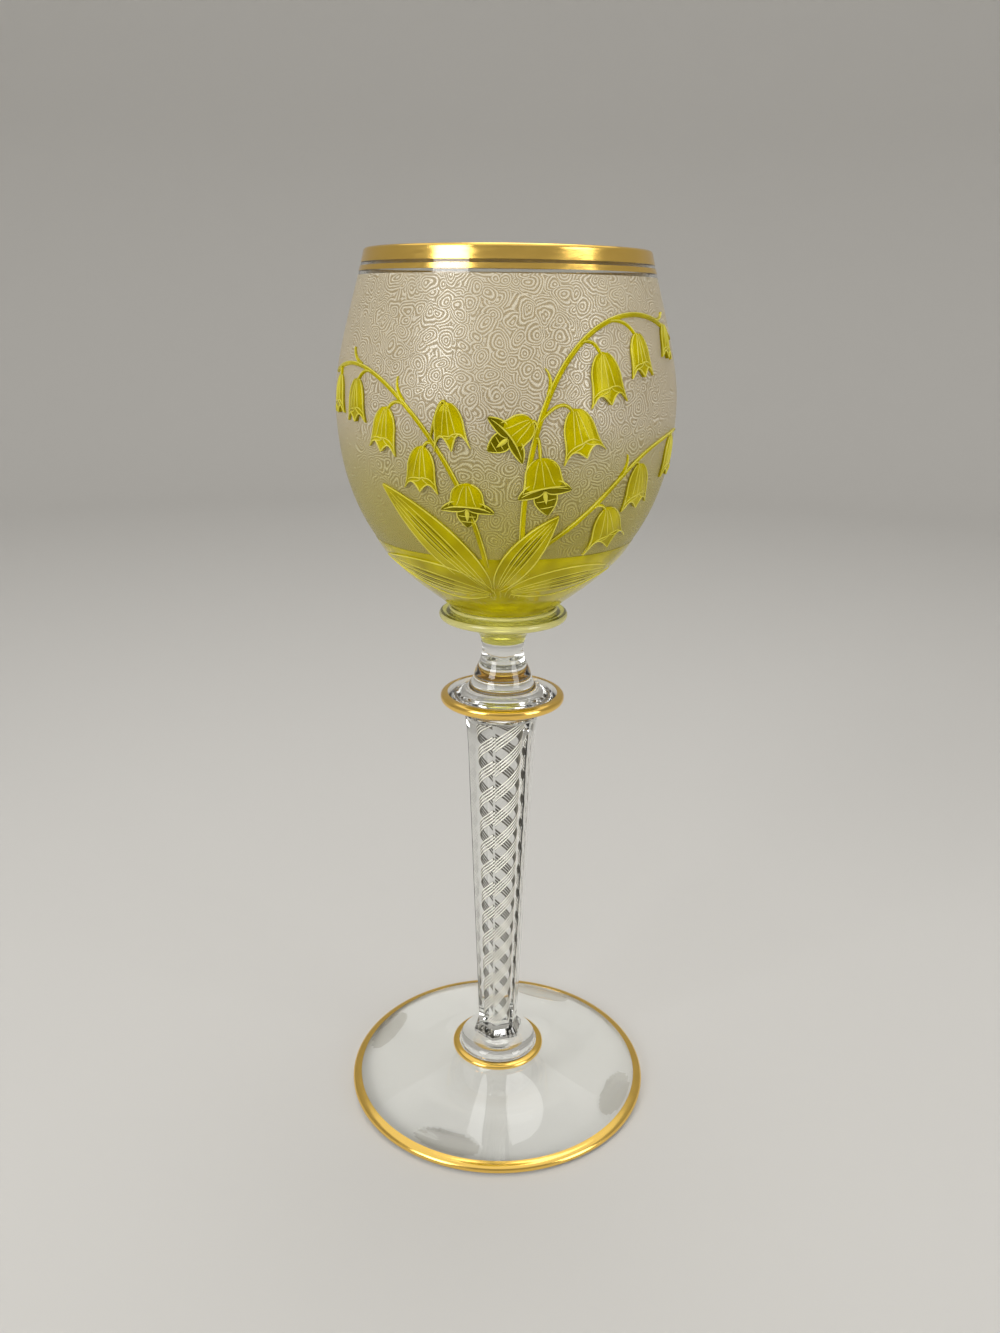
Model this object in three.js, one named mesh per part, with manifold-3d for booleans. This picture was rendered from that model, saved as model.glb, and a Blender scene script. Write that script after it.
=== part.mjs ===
// Cameo glass goblet: an etched bowl with carved green bellflowers and a gilt rim,
// a green and a clear collar, a faceted stem with ribbons of twisted threads, and a cut foot.
// Lengths are in millimetres and +Z is up. The origin is the middle of the foot's underside.
// The front looks along -Y. Angles go round from the front towards +X.

import * as THREE from 'three';
import { mergeVertices } from 'three/addons/utils/BufferGeometryUtils.js';
import Module from 'manifold-3d';

const wasm = await Module();
wasm.setup();

// Clearance between two gathers of glass that are fused in the real goblet
const seam = 0.3;
// Thickness that stands for the fired gold
const gilding = 0.35;

// Sides of the wide and the slender turned pieces, and steps of each curve in a profile
const wideSides = 28;
const slenderSides = 16;
const curveSteps = 4;

// Foot
const footRadius = 37.3;
const footEdge = 2.0;
const footRise = 7.9;
const footHollowRadius = 22;
const footHollowDepth = 1.0;
const footEdgeRound = 0.6;
const footGiltWidth = 2.0;
const footGiltDrop = 1.3;

// Lens cuts near the rim of the foot
const cutCount = 4;
const cutLength = 17;
const cutWidth = 6.2;
const cutDepth = 0.6;
const cutMargin = 0.2;
const cutTurn = -22;
const wheelSamples = 60;

// Merese under the knop, with its gilt edge
const mereseRadius = 11.5;
const mereseHeight = 1.3;
const mereseGiltWidth = 1.6;
const mereseGiltDrop = 0.9;

// Knops between the foot and the stem
const knopRadius = 9.6;
const knopHeight = 2.8;
const knopShoulder = 6.4;
const facetedKnopRadius = 6.2;
const facetedKnopHeight = 2.4;
const facetedKnopBevel = 0.5;

// Stem: a clear casing ground with flat facets, round a core and ribbons of twisted threads.
// Its radius is that of the corners, and the facets run out in arcs below the collar.
const stemLength = 84.1;
const stemFootRadius = 4.95;
const stemTopRadius = 8.45;
const stemFlare = 0.4;
const stemFlareLength = 9;
const facetCount = 6;
const facetTurn = -12;
const facetRunOut = 6;
const ribbonCount = 3;
const ribbonThreads = 4;
const ribbonTurn = 75;
const helixFootRadius = 2.2;
const helixTopRadius = 3.7;
const threadFootRadius = 0.16;
const threadTopRadius = 0.22;
const threadSpacing = 0.14;
const twistPitch = 19.2;
const threadSides = 3;
const threadStepsPerTurn = 8;

// Lower collar, clear with a gilt edge
const lowerCollarRadius = 14.3;
const lowerCollarHeight = 9.0;
const lowerCollarEdge = 2.0;
const lowerCollarUnderside = 2.7;
const lowerCollarStep = 10.5;
const lowerCollarGiltWidth = 1.6;

// Neck between the collars
const neckHeight = 7.6;
const neckFootRadius = 6.5;
const neckWaistRadius = 4.75;
const neckWaistHeight = 5.9;
const neckTopRadius = 4.95;

// Upper collar, green down to the top of the neck, and the ring that the bowl sits on
const upperCollarRadius = 14.5;
const upperCollarHeight = 7.2;
const upperCollarThroat = 3.1;
const upperCollarThroatRadius = 7.4;
const upperCollarEdgeRound = 0.95;
const seatRingRadius = 12.2;
const seatRingHeight = 0.7;

// Bowl
const bowlHeight = 74.3;
const bowlSeatRadius = 11.2;
const bowlBellyRadius = 35.85;
const bowlBellyHeight = 44.4;
const bowlRimRadius = 29.3;
const bowlSpring = 6.2;
const bowlSpringSlope = 1.07;
const bowlLowerFullness = 30;
const bowlUpperFullness = 8.7;
const bowlRimDrop = 7.5;
const bowlRimSlope = 0.25;
const bowlRimWall = 1.3;
const bowlSeatWall = 2.4;
const bowlFloor = 3.2;
const bowlInnerStart = 0.07;
const bowlSteps = 12;
const bowlInnerSteps = 9;

// Gilt lines under the lip
const rimBandWidth = 2.1;
const rimLineGap = 0.7;
const rimLineWidth = 1.0;

// Green overlay left standing on the bowl
const overlayLift = seam;
const cupShare = 0.28;
const cupSteps = 3;
const cupThickness = 0.5;
const leafThickness = 0.45;
const leafRidge = 0.35;
const bellThickness = 0.4;
const bellDome = 0.45;
const stalkThickness = 0.45;
const pedicelThickness = 0.35;
const nesting = 0.05;
const stalkWidth = 1.3;
const stalkSteps = 12;
const pedicelWidth = 0.8;
const bellMouthFlare = 0.22;
const bellNotch = 0.2;
const bractLength = 5.5;
const bractWidth = 1.6;
const bellLength = 9.2;
const bellWidth = 7.6;
const pedicelRise = 1.5;
const pedicelSink = 1;
const leafWidth = 8.8;

const materials = {
  clear: { color: 0xf2f4f0, roughness: 0.03, metalness: 0 },
  etched: { color: 0xcdbf9e, roughness: 0.45, metalness: 0 },
  green: { color: 0xb4b41e, roughness: 0.12, metalness: 0 },
  gold: { color: 0xe2b45a, roughness: 0.18, metalness: 1 },
  thread: { color: 0xece4d2, roughness: 0.3, metalness: 0 },
};

function radians(degrees) {
  return THREE.MathUtils.degToRad(degrees);
}

// Meshes and solids

function part(name, geometry, finish, height = 0) {
  const mesh = new THREE.Mesh(geometry, new THREE.MeshStandardMaterial(materials[finish]));
  mesh.name = name;
  mesh.position.z = height;
  return mesh;
}

function turned(profile, sides = slenderSides) {
  return new THREE.LatheGeometry(profile, sides).rotateX(Math.PI / 2);
}

function geometryOf(positions, triangles) {
  const geometry = new THREE.BufferGeometry();
  geometry.setAttribute('position', new THREE.Float32BufferAttribute(positions, 3));
  geometry.setIndex(triangles);
  geometry.computeVertexNormals();
  return geometry;
}

function solidOf(source) {
  const geometry = source.clone();
  geometry.deleteAttribute('normal');
  geometry.deleteAttribute('uv');
  const merged = mergeVertices(geometry, 1e-4);
  const index = merged.index.array;
  const triangles = [];
  for (let i = 0; i < index.length; i += 3) {
    const [a, b, c] = [index[i], index[i + 1], index[i + 2]];
    if (a !== b && b !== c && c !== a) triangles.push(a, b, c);
  }
  const vertProperties = new Float32Array(merged.attributes.position.array);
  const triVerts = new Uint32Array(triangles);
  return new wasm.Manifold(new wasm.Mesh({ numProp: 3, vertProperties, triVerts }));
}

function meshOf(solid) {
  const mesh = solid.getMesh();
  return geometryOf(Array.from(mesh.vertProperties), Array.from(mesh.triVerts));
}

// A closed tube through rings of points that go round its direction of travel
function tube(rings) {
  const sides = rings[0].length;
  const positions = rings.flat().flatMap((point) => point.toArray());
  const triangles = [];
  for (let i = 0; i < rings.length - 1; i += 1) {
    for (let j = 0; j < sides; j += 1) {
      const next = (j + 1) % sides;
      const [a, b] = [i * sides + j, i * sides + next];
      const [c, d] = [b + sides, a + sides];
      triangles.push(a, b, c, a, c, d);
    }
  }
  const last = (rings.length - 1) * sides;
  for (let j = 1; j < sides - 1; j += 1) {
    triangles.push(0, j + 1, j);
    triangles.push(last, last + j, last + j + 1);
  }
  return geometryOf(positions, triangles);
}

// A gilt ring with an L section, which wraps the top and the side of an edge
function giltEdge(radius, width, drop, sides = slenderSides) {
  const ring = new THREE.Path();
  ring.moveTo(radius, 0);
  ring.lineTo(radius, drop - gilding);
  ring.lineTo(radius - gilding, drop);
  ring.lineTo(radius - width, drop);
  ring.lineTo(radius - width, drop - gilding);
  ring.lineTo(radius - gilding, drop - gilding);
  ring.lineTo(radius - gilding, 0);
  ring.lineTo(radius, 0);
  return turned(ring.getPoints(), sides);
}

// Foot

const footGlassRadius = footRadius - gilding - seam;
const footLedge = footEdge - gilding - seam;
const footLedgeRadius = footRadius - footGiltWidth - seam;
const footTop = new THREE.CubicBezierCurve(
  new THREE.Vector2(footLedgeRadius, footLedge),
  new THREE.Vector2(footLedgeRadius * 0.65, footLedge + footRise * 0.2),
  new THREE.Vector2(mereseRadius * 1.35, footRise * 0.86),
  new THREE.Vector2(mereseRadius - mereseGiltWidth, footRise),
);

function footDisc() {
  const profile = new THREE.Path();
  profile.moveTo(0, footHollowDepth);
  profile.quadraticCurveTo(footHollowRadius * 0.6, footHollowDepth, footHollowRadius, 0);
  profile.lineTo(footGlassRadius - footEdgeRound, 0);
  profile.quadraticCurveTo(footGlassRadius, 0, footGlassRadius, footEdgeRound);
  profile.lineTo(footGlassRadius, footLedge);
  const points = profile.getPoints(2).concat(footTop.getPoints(curveSteps));
  points.push(new THREE.Vector2(0, footRise));
  let solid = solidOf(turned(points, wideSides));
  for (let i = 0; i < cutCount; i += 1) {
    solid = solid.subtract(lensCutter(radians(cutTurn + (360 / cutCount) * i)));
  }
  return meshOf(solid);
}

// The grinding wheel's path: an ellipsoid that dips below the sloping top by cutDepth
function lensCutter(angle) {
  const radius = footLedgeRadius - cutMargin - cutWidth / 2;
  const samples = footTop.getPoints(wheelSamples);
  const index = samples.findIndex((point) => point.x < radius);
  const [outer, inner] = [samples[index - 1], samples[index]];
  const slope = (inner.y - outer.y) / (outer.x - inner.x);
  const height = outer.y + (outer.x - radius) * slope;
  const spread = 1 / Math.sqrt(0.75);
  const wheel = new THREE.SphereGeometry(1, 14, 6);
  wheel.scale((cutLength / 2) * spread, (cutWidth / 2) * spread, 2 * cutDepth);
  wheel.translate(0, 0, cutDepth);
  wheel.rotateX(Math.atan(slope));
  wheel.translate(0, -radius, height);
  wheel.rotateZ(angle);
  return solidOf(wheel);
}

function merese() {
  const glassRadius = mereseRadius - gilding - seam;
  const ledge = mereseHeight - gilding - seam;
  const ledgeRadius = mereseRadius - mereseGiltWidth - seam;
  return turned([
    new THREE.Vector2(0, 0),
    new THREE.Vector2(glassRadius - seam, 0),
    new THREE.Vector2(glassRadius, seam),
    new THREE.Vector2(glassRadius, ledge),
    new THREE.Vector2(ledgeRadius, ledge),
    new THREE.Vector2(ledgeRadius, mereseHeight),
    new THREE.Vector2(0, mereseHeight),
  ]);
}

function footKnop() {
  const profile = new THREE.Path();
  profile.moveTo(0, 0);
  profile.lineTo(knopRadius, 0);
  profile.quadraticCurveTo(knopRadius, knopHeight * 0.75, knopShoulder, knopHeight);
  profile.lineTo(0, knopHeight);
  return turned(profile.getPoints(3));
}

function facetedKnop() {
  const profile = [
    new THREE.Vector2(0, 0),
    new THREE.Vector2(facetedKnopRadius - facetedKnopBevel, 0),
    new THREE.Vector2(facetedKnopRadius, facetedKnopBevel),
    new THREE.Vector2(facetedKnopRadius, facetedKnopHeight * 0.4),
    new THREE.Vector2(stemFootRadius, facetedKnopHeight),
    new THREE.Vector2(0, facetedKnopHeight),
  ];
  return turned(profile, facetCount).rotateZ(radians(facetTurn));
}

// Stem

// Radius of the stem's corners at a height above its foot
function stemRadius(height) {
  const flare = Math.max(0, 1 - (stemLength - height) / stemFlareLength);
  const taper = (stemTopRadius - stemFootRadius) * (height / stemLength);
  return stemFootRadius + taper + stemFlare * flare ** 2;
}

// A flat facet lies nearer to the axis than the corners, by a depth that fades out at the top
function facetedRadius(angle, height) {
  const depth = Math.min(1, Math.sqrt((stemLength - height) / facetRunOut));
  const half = Math.PI / facetCount;
  const fromMiddle = THREE.MathUtils.euclideanModulo(angle - radians(facetTurn), 2 * half) - half;
  const flat = Math.cos(half) / Math.cos(fromMiddle);
  return stemRadius(height) * (1 - depth * (1 - flat));
}

function tapered(foot, top, height) {
  return foot + (top - foot) * (height / stemLength);
}

function threadRadius(height) {
  return tapered(threadFootRadius, threadTopRadius, height);
}

function helixRadius(height) {
  return tapered(helixFootRadius, helixTopRadius, height);
}

function boreRadius(height) {
  return helixRadius(height) + threadRadius(height) + seam;
}

// The core clears the middles of the threads' straight steps, which lie nearest to the axis
function coreRadius(height) {
  const nearest = (helixRadius(height) - threadRadius(height)) * Math.cos(Math.PI / threadStepsPerTurn);
  return nearest - seam;
}

function facetedRing(height) {
  const ring = [];
  const count = facetCount * 4;
  for (let i = 0; i < count; i += 1) {
    const angle = radians(facetTurn) + (2 * Math.PI * i) / count;
    const radius = facetedRadius(angle, height);
    ring.push(new THREE.Vector3(radius * Math.sin(angle), -radius * Math.cos(angle), height));
  }
  return ring;
}

function stemCasing() {
  const shaft = [0, (stemLength - stemFlareLength) / 2, stemLength - stemFlareLength];
  const runOut = [0.5, 0.15, 0].map((share) => stemLength - share * facetRunOut);
  const outside = solidOf(tube([...shaft, ...runOut].map(facetedRing)));
  const bore = solidOf(turned([
    new THREE.Vector2(0, -seam),
    new THREE.Vector2(boreRadius(-seam), -seam),
    new THREE.Vector2(boreRadius(stemLength + seam), stemLength + seam),
    new THREE.Vector2(0, stemLength + seam),
  ]));
  return meshOf(outside.subtract(bore));
}

function stemCore() {
  return turned([
    new THREE.Vector2(0, 0),
    new THREE.Vector2(coreRadius(0), 0),
    new THREE.Vector2(coreRadius(stemLength), stemLength),
    new THREE.Vector2(0, stemLength),
  ]);
}

// Turn between two threads of a ribbon, which keep their spacing where the stem is thinnest
function threadStagger() {
  const distance = (2 * threadRadius(0) + threadSpacing) / Math.cos(threadLean(0));
  return 2 * Math.asin(distance / (2 * helixRadius(0)));
}

function threadLean(height) {
  return Math.atan((2 * Math.PI * helixRadius(height)) / twistPitch);
}

function twistThread(startAngle) {
  const rings = [];
  const threadSteps = Math.round((stemLength / twistPitch) * threadStepsPerTurn);
  for (let i = 0; i <= threadSteps; i += 1) {
    const height = (stemLength * i) / threadSteps;
    const angle = startAngle + (2 * Math.PI * height) / twistPitch;
    const outward = new THREE.Vector3(Math.sin(angle), -Math.cos(angle), 0);
    const across = new THREE.Vector3(Math.cos(angle), Math.sin(angle), 0);
    const atEnd = i === 0 || i === threadSteps;
    if (!atEnd) across.multiplyScalar(Math.cos(threadLean(height))).setZ(-Math.sin(threadLean(height)));
    const centre = outward.clone().multiplyScalar(helixRadius(height)).setZ(height);
    rings.push(ringAround(centre, outward, across, threadRadius(height)));
  }
  return tube(rings);
}

function ringAround(centre, first, second, radius) {
  const ring = [];
  for (let j = 0; j < threadSides; j += 1) {
    const angle = (2 * Math.PI * j) / threadSides;
    const point = centre.clone().addScaledVector(first, radius * Math.cos(angle));
    ring.push(point.addScaledVector(second, radius * Math.sin(angle)));
  }
  return ring;
}

// Collars and neck

function lowerCollar() {
  const glassRadius = lowerCollarRadius - gilding - seam;
  const flangeTop = lowerCollarUnderside + lowerCollarEdge;
  const ledge = flangeTop - gilding - seam;
  const ledgeRadius = lowerCollarRadius - lowerCollarGiltWidth - seam;
  const profile = new THREE.Path();
  const stemTop = stemRadius(stemLength);
  profile.moveTo(0, 0);
  profile.lineTo(stemTop, 0);
  profile.quadraticCurveTo(
    stemTop * 1.15, lowerCollarUnderside * 0.8,
    glassRadius - seam, lowerCollarUnderside,
  );
  profile.lineTo(glassRadius, lowerCollarUnderside + seam);
  profile.lineTo(glassRadius, ledge);
  profile.lineTo(ledgeRadius, ledge);
  profile.lineTo(ledgeRadius, flangeTop);
  profile.lineTo(lowerCollarStep, flangeTop + seam);
  profile.bezierCurveTo(
    (lowerCollarStep + neckFootRadius) / 2, flangeTop + seam,
    neckFootRadius, (flangeTop + lowerCollarHeight) / 2,
    neckFootRadius, lowerCollarHeight,
  );
  profile.lineTo(0, lowerCollarHeight);
  return turned(profile.getPoints(curveSteps));
}

function neck() {
  const profile = new THREE.Path();
  profile.moveTo(0, 0);
  profile.lineTo(neckFootRadius, 0);
  profile.bezierCurveTo(
    neckFootRadius * 0.8, neckWaistHeight * 0.25,
    neckWaistRadius, neckWaistHeight * 0.5,
    neckWaistRadius, neckWaistHeight,
  );
  profile.quadraticCurveTo(
    neckWaistRadius, (neckWaistHeight + neckHeight) / 2,
    neckTopRadius, neckHeight,
  );
  profile.lineTo(0, neckHeight);
  return turned(profile.getPoints(curveSteps));
}

function upperCollar() {
  const edgeCentre = upperCollarHeight - upperCollarEdgeRound;
  const underside = edgeCentre - upperCollarEdgeRound;
  const profile = new THREE.Path();
  profile.moveTo(0, 0);
  profile.lineTo(neckTopRadius, 0);
  profile.quadraticCurveTo(
    neckTopRadius * 1.1, upperCollarThroat * 0.75,
    upperCollarThroatRadius, upperCollarThroat,
  );
  profile.quadraticCurveTo(
    upperCollarThroatRadius * 1.2, THREE.MathUtils.lerp(upperCollarThroat, underside, 0.85),
    upperCollarRadius - upperCollarEdgeRound, underside,
  );
  profile.absarc(
    upperCollarRadius - upperCollarEdgeRound, edgeCentre, upperCollarEdgeRound,
    -Math.PI / 2, Math.PI / 2, false,
  );
  profile.lineTo(0, upperCollarHeight);
  return turned(profile.getPoints(4));
}

function seatRing() {
  const profile = new THREE.Path();
  profile.moveTo(0, 0);
  profile.lineTo(seatRingRadius - seatRingHeight / 2, 0);
  profile.absarc(
    seatRingRadius - seatRingHeight / 2, seatRingHeight / 2, seatRingHeight / 2,
    -Math.PI / 2, Math.PI / 2, false,
  );
  profile.lineTo(0, seatRingHeight);
  return turned(profile.getPoints(2));
}

// Bowl: its outer profile from the seat to the lip, measured by arc length

const bowlSkin = new THREE.CurvePath();
bowlSkin.add(new THREE.CubicBezierCurve(
  new THREE.Vector2(bowlSeatRadius, 0),
  new THREE.Vector2(bowlSeatRadius + bowlSpring * bowlSpringSlope, bowlSpring),
  new THREE.Vector2(bowlBellyRadius, bowlBellyHeight - bowlLowerFullness),
  new THREE.Vector2(bowlBellyRadius, bowlBellyHeight),
));
bowlSkin.add(new THREE.CubicBezierCurve(
  new THREE.Vector2(bowlBellyRadius, bowlBellyHeight),
  new THREE.Vector2(bowlBellyRadius, bowlBellyHeight + bowlUpperFullness),
  new THREE.Vector2(bowlRimRadius + bowlRimDrop * bowlRimSlope, bowlHeight - bowlRimWall / 2 - bowlRimDrop),
  new THREE.Vector2(bowlRimRadius, bowlHeight - bowlRimWall / 2),
));
const skinLength = bowlSkin.getLength();

// Point of the profile at a share of its length, lifted off the glass along its normal
function skinPoint(share, lift) {
  const point = bowlSkin.getPoint(share);
  const tangent = bowlSkin.getTangent(share);
  return new THREE.Vector2(point.x + lift * tangent.y, point.y - lift * tangent.x);
}

function skinRun(from, to, lift, steps) {
  const points = [];
  for (let i = 0; i <= steps; i += 1) points.push(skinPoint(from + ((to - from) * i) / steps, lift));
  return points;
}

function bowl() {
  const outer = skinRun(0, 1, 0, bowlSteps);
  const lip = new THREE.Path();
  const lipRound = bowlRimWall / 2;
  lip.absarc(bowlRimRadius - lipRound, bowlHeight - lipRound, lipRound, 0, Math.PI, false);
  const inner = [];
  for (let i = bowlInnerSteps; i >= 0; i -= 1) {
    const share = bowlInnerStart + ((1 - bowlInnerStart) * i) / bowlInnerSteps;
    const wall = bowlRimWall + (bowlSeatWall - bowlRimWall) * (1 - share) ** 2;
    inner.push(skinPoint(share, -wall));
  }
  const start = inner[inner.length - 1];
  const floor = new THREE.QuadraticBezierCurve(
    start,
    new THREE.Vector2(start.x * 0.5, bowlFloor),
    new THREE.Vector2(0, bowlFloor),
  );
  const base = new THREE.Vector2(0, 0);
  const lipPoints = lip.getPoints(2).slice(1, -1);
  return turned([base, ...outer, ...lipPoints, ...inner, ...floor.getPoints(3).slice(1)], wideSides);
}

function skinBand(from, to, low, high, steps) {
  const outer = skinRun(from, to, high, steps);
  const inner = skinRun(to, from, low, steps);
  return turned([...outer, ...inner, outer[0]], wideSides);
}

// Carved overlay: paths lie in a chart of degrees round the bowl and shares of its profile

function onBowl(angle, share, lift) {
  const point = skinPoint(share, lift);
  return new THREE.Vector3(point.x * Math.sin(angle), -point.x * Math.cos(angle), point.y);
}

function chartPoint([angle, share]) {
  return new THREE.Vector2(angle, share);
}

// Moves a chart point by real millimetres to the right and up
function shifted(place, right, up) {
  const share = place.y + up / skinLength;
  const radius = skinPoint(THREE.MathUtils.clamp(share, 0, 1), 0).x;
  return new THREE.Vector2(place.x + THREE.MathUtils.radToDeg(right / radius), share);
}

function heading(path, t) {
  const [from, to] = [path.getPoint(Math.max(0, t - 0.01)), path.getPoint(Math.min(1, t + 0.01))];
  const right = radians(to.x - from.x) * skinPoint(path.getPoint(t).y, 0).x;
  return new THREE.Vector2(right, (to.y - from.y) * skinLength).normalize();
}

// A slab along a path on the bowl, with a half width at each row and a domed top
function carved({ path, rows, columns, halfWidth, reach = () => 0, low, edge, dome = 0 }) {
  const widest = Math.max(...rows.map(halfWidth));
  const sheets = [[], []];
  for (const t of rows) {
    const place = path.getPoint(t);
    const along = heading(path, t);
    for (const across of columns) {
      const side = across * halfWidth(t);
      const forward = reach(t, across);
      const right = along.y * side + along.x * forward;
      const up = -along.x * side + along.y * forward;
      const spot = shifted(place, right, up);
      const bulge = (dome * (1 - across ** 2) * halfWidth(t)) / widest;
      sheets[0].push(onBowl(radians(spot.x), spot.y, low + edge + bulge));
      sheets[1].push(onBowl(radians(spot.x), spot.y, low));
    }
  }
  return solidOf(slab(sheets[0], sheets[1], rows.length, columns.length));
}

function slab(upper, lower, rowCount, columnCount) {
  const positions = [...upper, ...lower].flatMap((point) => point.toArray());
  const under = upper.length;
  const triangles = [];
  const quad = (a, b, c, d) => triangles.push(a, b, c, a, c, d);
  const lastRow = (rowCount - 1) * columnCount;
  for (let i = 0; i < lastRow; i += columnCount) {
    for (let j = i; j < i + columnCount - 1; j += 1) {
      const [a, b, c, d] = [j, j + 1, j + columnCount + 1, j + columnCount];
      quad(a, b, c, d);
      quad(under + d, under + c, under + b, under + a);
    }
    const right = i + columnCount - 1;
    quad(i, i + columnCount, under + i + columnCount, under + i);
    quad(right + columnCount, right, under + right, under + right + columnCount);
  }
  for (let j = 0; j < columnCount - 1; j += 1) {
    quad(j + 1, j, under + j, under + j + 1);
    quad(lastRow + j, lastRow + j + 1, under + lastRow + j + 1, under + lastRow + j);
  }
  return geometryOf(positions, triangles);
}

function evenly(count) {
  return Array.from({ length: count + 1 }, (_, i) => i / count);
}

function stalk(path) {
  return carved({
    path,
    rows: evenly(stalkSteps),
    columns: [-1, 1],
    halfWidth: (t) => (stalkWidth / 2) * (1 - 0.4 * t),
    low: overlayLift + nesting,
    edge: stalkThickness,
  });
}

// A bellflower hangs from its top, swells to a waist and flares to three pointed lobes.
// An open flower has a wider flare, and may be long or short for its size.
function bell(top, { size, tilt, notch = bellNotch, flare = bellMouthFlare, long = 1 }) {
  const length = bellLength * size * long;
  const hang = new THREE.Vector2(Math.sin(radians(tilt)), -Math.cos(radians(tilt)));
  const mouth = shifted(top, hang.x * length, hang.y * length);
  return carved({
    path: new THREE.LineCurve(top, mouth),
    rows: [0, 0.14, 0.5, 1],
    columns: [-1, -0.5, 0, 0.5, 1],
    halfWidth: (t) => {
      const swell = Math.sqrt(Math.sin((Math.PI / 2) * Math.min(1, t / 0.5)));
      return (bellWidth / 2) * size ** 1.5 * ((1 - bellMouthFlare) * swell + flare * t ** 4);
    },
    reach: (t, across) => {
      const notched = Math.abs(across) === 0.5;
      return notched ? -notch * length * t ** 6 : 0;
    },
    low: overlayLift,
    edge: bellThickness,
    dome: bellDome,
  });
}

function pedicel(from, top, rise) {
  const middle = new THREE.Vector2((from.x + 2 * top.x) / 3, Math.max(from.y, top.y) + rise / skinLength);
  return carved({
    path: new THREE.QuadraticBezierCurve(from, middle, shifted(top, 0, -pedicelSink)),
    rows: evenly(3),
    columns: [-1, 1],
    halfWidth: () => pedicelWidth / 2,
    low: overlayLift + 2 * nesting,
    edge: pedicelThickness - nesting,
  });
}

// A bract springs from the stalk at one side and tapers to a point
function bract(path, t, side) {
  const from = path.getPoint(t);
  const along = heading(path, t);
  const lean = radians(35 * side);
  const right = along.x * Math.cos(lean) + along.y * Math.sin(lean);
  const up = along.y * Math.cos(lean) - along.x * Math.sin(lean);
  return carved({
    path: new THREE.LineCurve(from, shifted(from, right * bractLength, up * bractLength)),
    rows: [0, 0.35, 1],
    columns: [-1, 1],
    halfWidth: (s) => (bractWidth / 2) * (1 - s),
    low: overlayLift + 1.5 * nesting,
    edge: pedicelThickness,
  });
}

// Sprays of the front. A flower hangs from its top, tilts in degrees and has a relative size.
// Its pedicel leaves the stalk at a share of the stalk and arches by a relative height.
const sprays = {
  left: {
    stalk: [[-8, 0.295], [-13.8, 0.609], [-44.5, 0.811], [-73, 0.716]],
    bells: [
      { at: 0.95, top: [-67, 0.712], size: 0.81, tilt: 2, arch: 0.3 },
      { at: 0.69, top: [-53.5, 0.709], size: 0.90, tilt: 0, arch: 0.8 },
      { at: 0.5, top: [-38.5, 0.652], size: 0.95, tilt: -12, arch: 0.8 },
      { at: 0.37, top: [-17.8, 0.669], size: 0.97, tilt: 7, arch: 1.7, notch: 0.35 },
      { at: 0.35, top: [-25.8, 0.572], size: 0.97, tilt: -7, arch: 0.7 },
      { at: 0.19, top: [-12, 0.492], size: 1.05, tilt: -2, arch: 0.3, flare: 0.5, long: 0.8 },
    ],
    bracts: [[0.5, 1], [0.76, 1]],
  },
  right: {
    stalk: [[6.0, 0.383], [5.3, 0.938], [53, 0.895], [72.5, 0.801]],
    bells: [
      { at: 0.96, top: [66, 0.838], size: 0.74, tilt: -8, arch: 0.3 },
      { at: 0.54, top: [46, 0.818], size: 0.90, tilt: 4, arch: 0.5 },
      { at: 0.4, top: [30.2, 0.778], size: 1.06, tilt: 8, arch: 0.8 },
      { at: 0.19, top: [20, 0.658], size: 1.04, tilt: 18, arch: 1.7, flare: 0.35 },
      { at: 0.175, top: [7.5, 0.635], size: 0.96, tilt: -52, arch: 0.3, flare: 0.45 },
      { at: 0.155, top: [10.4, 0.552], size: 1.12, tilt: 10, arch: 0.6, flare: 0.35 },
    ],
    bracts: [[0.245, -1], [0.8, -1]],
  },
  low: {
    stalk: [[19.8, 0.356], [41.8, 0.487], [40.3, 0.568], [74, 0.586]],
    bells: [
      { at: 0.96, top: [67.5, 0.578], size: 0.88, tilt: 6, arch: 0.3 },
      { at: 0.55, top: [47.2, 0.526], size: 1.02, tilt: 10, arch: 0.6 },
      { at: 0.2, top: [36, 0.425], size: 1.08, tilt: 20, arch: 0.5, flare: 0.5 },
    ],
    bracts: [[0.4, -1]],
  },
};

function spray({ stalk: control, bells, bracts }) {
  const path = new THREE.CubicBezierCurve(...control.map(chartPoint));
  let solid = stalk(path);
  for (const flower of bells) {
    const top = chartPoint(flower.top);
    solid = solid.add(bell(top, flower));
    solid = solid.add(pedicel(path.getPoint(flower.at), top, flower.arch * pedicelRise));
  }
  for (const [at, side] of bracts) solid = solid.add(bract(path, at, side));
  return meshOf(solid);
}

// Leaves of the front: base, bend and tip in the chart, and the relative width
const leaves = [
  { points: [[-8, 0.17], [-26, 0.369], [-43.4, 0.472]], size: 0.92 },
  { points: [[-7, 0.15], [-32.5, 0.20], [-68, 0.245]], size: 1.3 },
  { points: [[-3, 0.17], [8.5, 0.329], [18, 0.412]], size: 0.70 },
  { points: [[3, 0.16], [32.5, 0.215], [64, 0.21]], size: 1.1 },
];

function leaf({ points, size }, order) {
  const path = new THREE.QuadraticBezierCurve(...points.map(chartPoint));
  return carved({
    path,
    rows: evenly(5),
    columns: [-1, 0, 1],
    halfWidth: (t) => (leafWidth / 2) * size * Math.sin(Math.PI * (0.12 + 0.88 * t ** 0.85)) ** 0.9,
    low: overlayLift + (1 + (order % 3)) * nesting,
    edge: leafThickness,
    dome: leafRidge - (order % 3) * nesting,
  });
}

// The overlay's root: a cup round the seat with the leaves growing from it on both sides
function leafCup() {
  let solid = solidOf(skinBand(0.01, cupShare, overlayLift, overlayLift + cupThickness, cupSteps));
  leaves.forEach((shape, order) => {
    const front = leaf(shape, order);
    solid = solid.add(front).add(front.rotate([0, 0, 180]));
  });
  return meshOf(solid);
}

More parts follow.
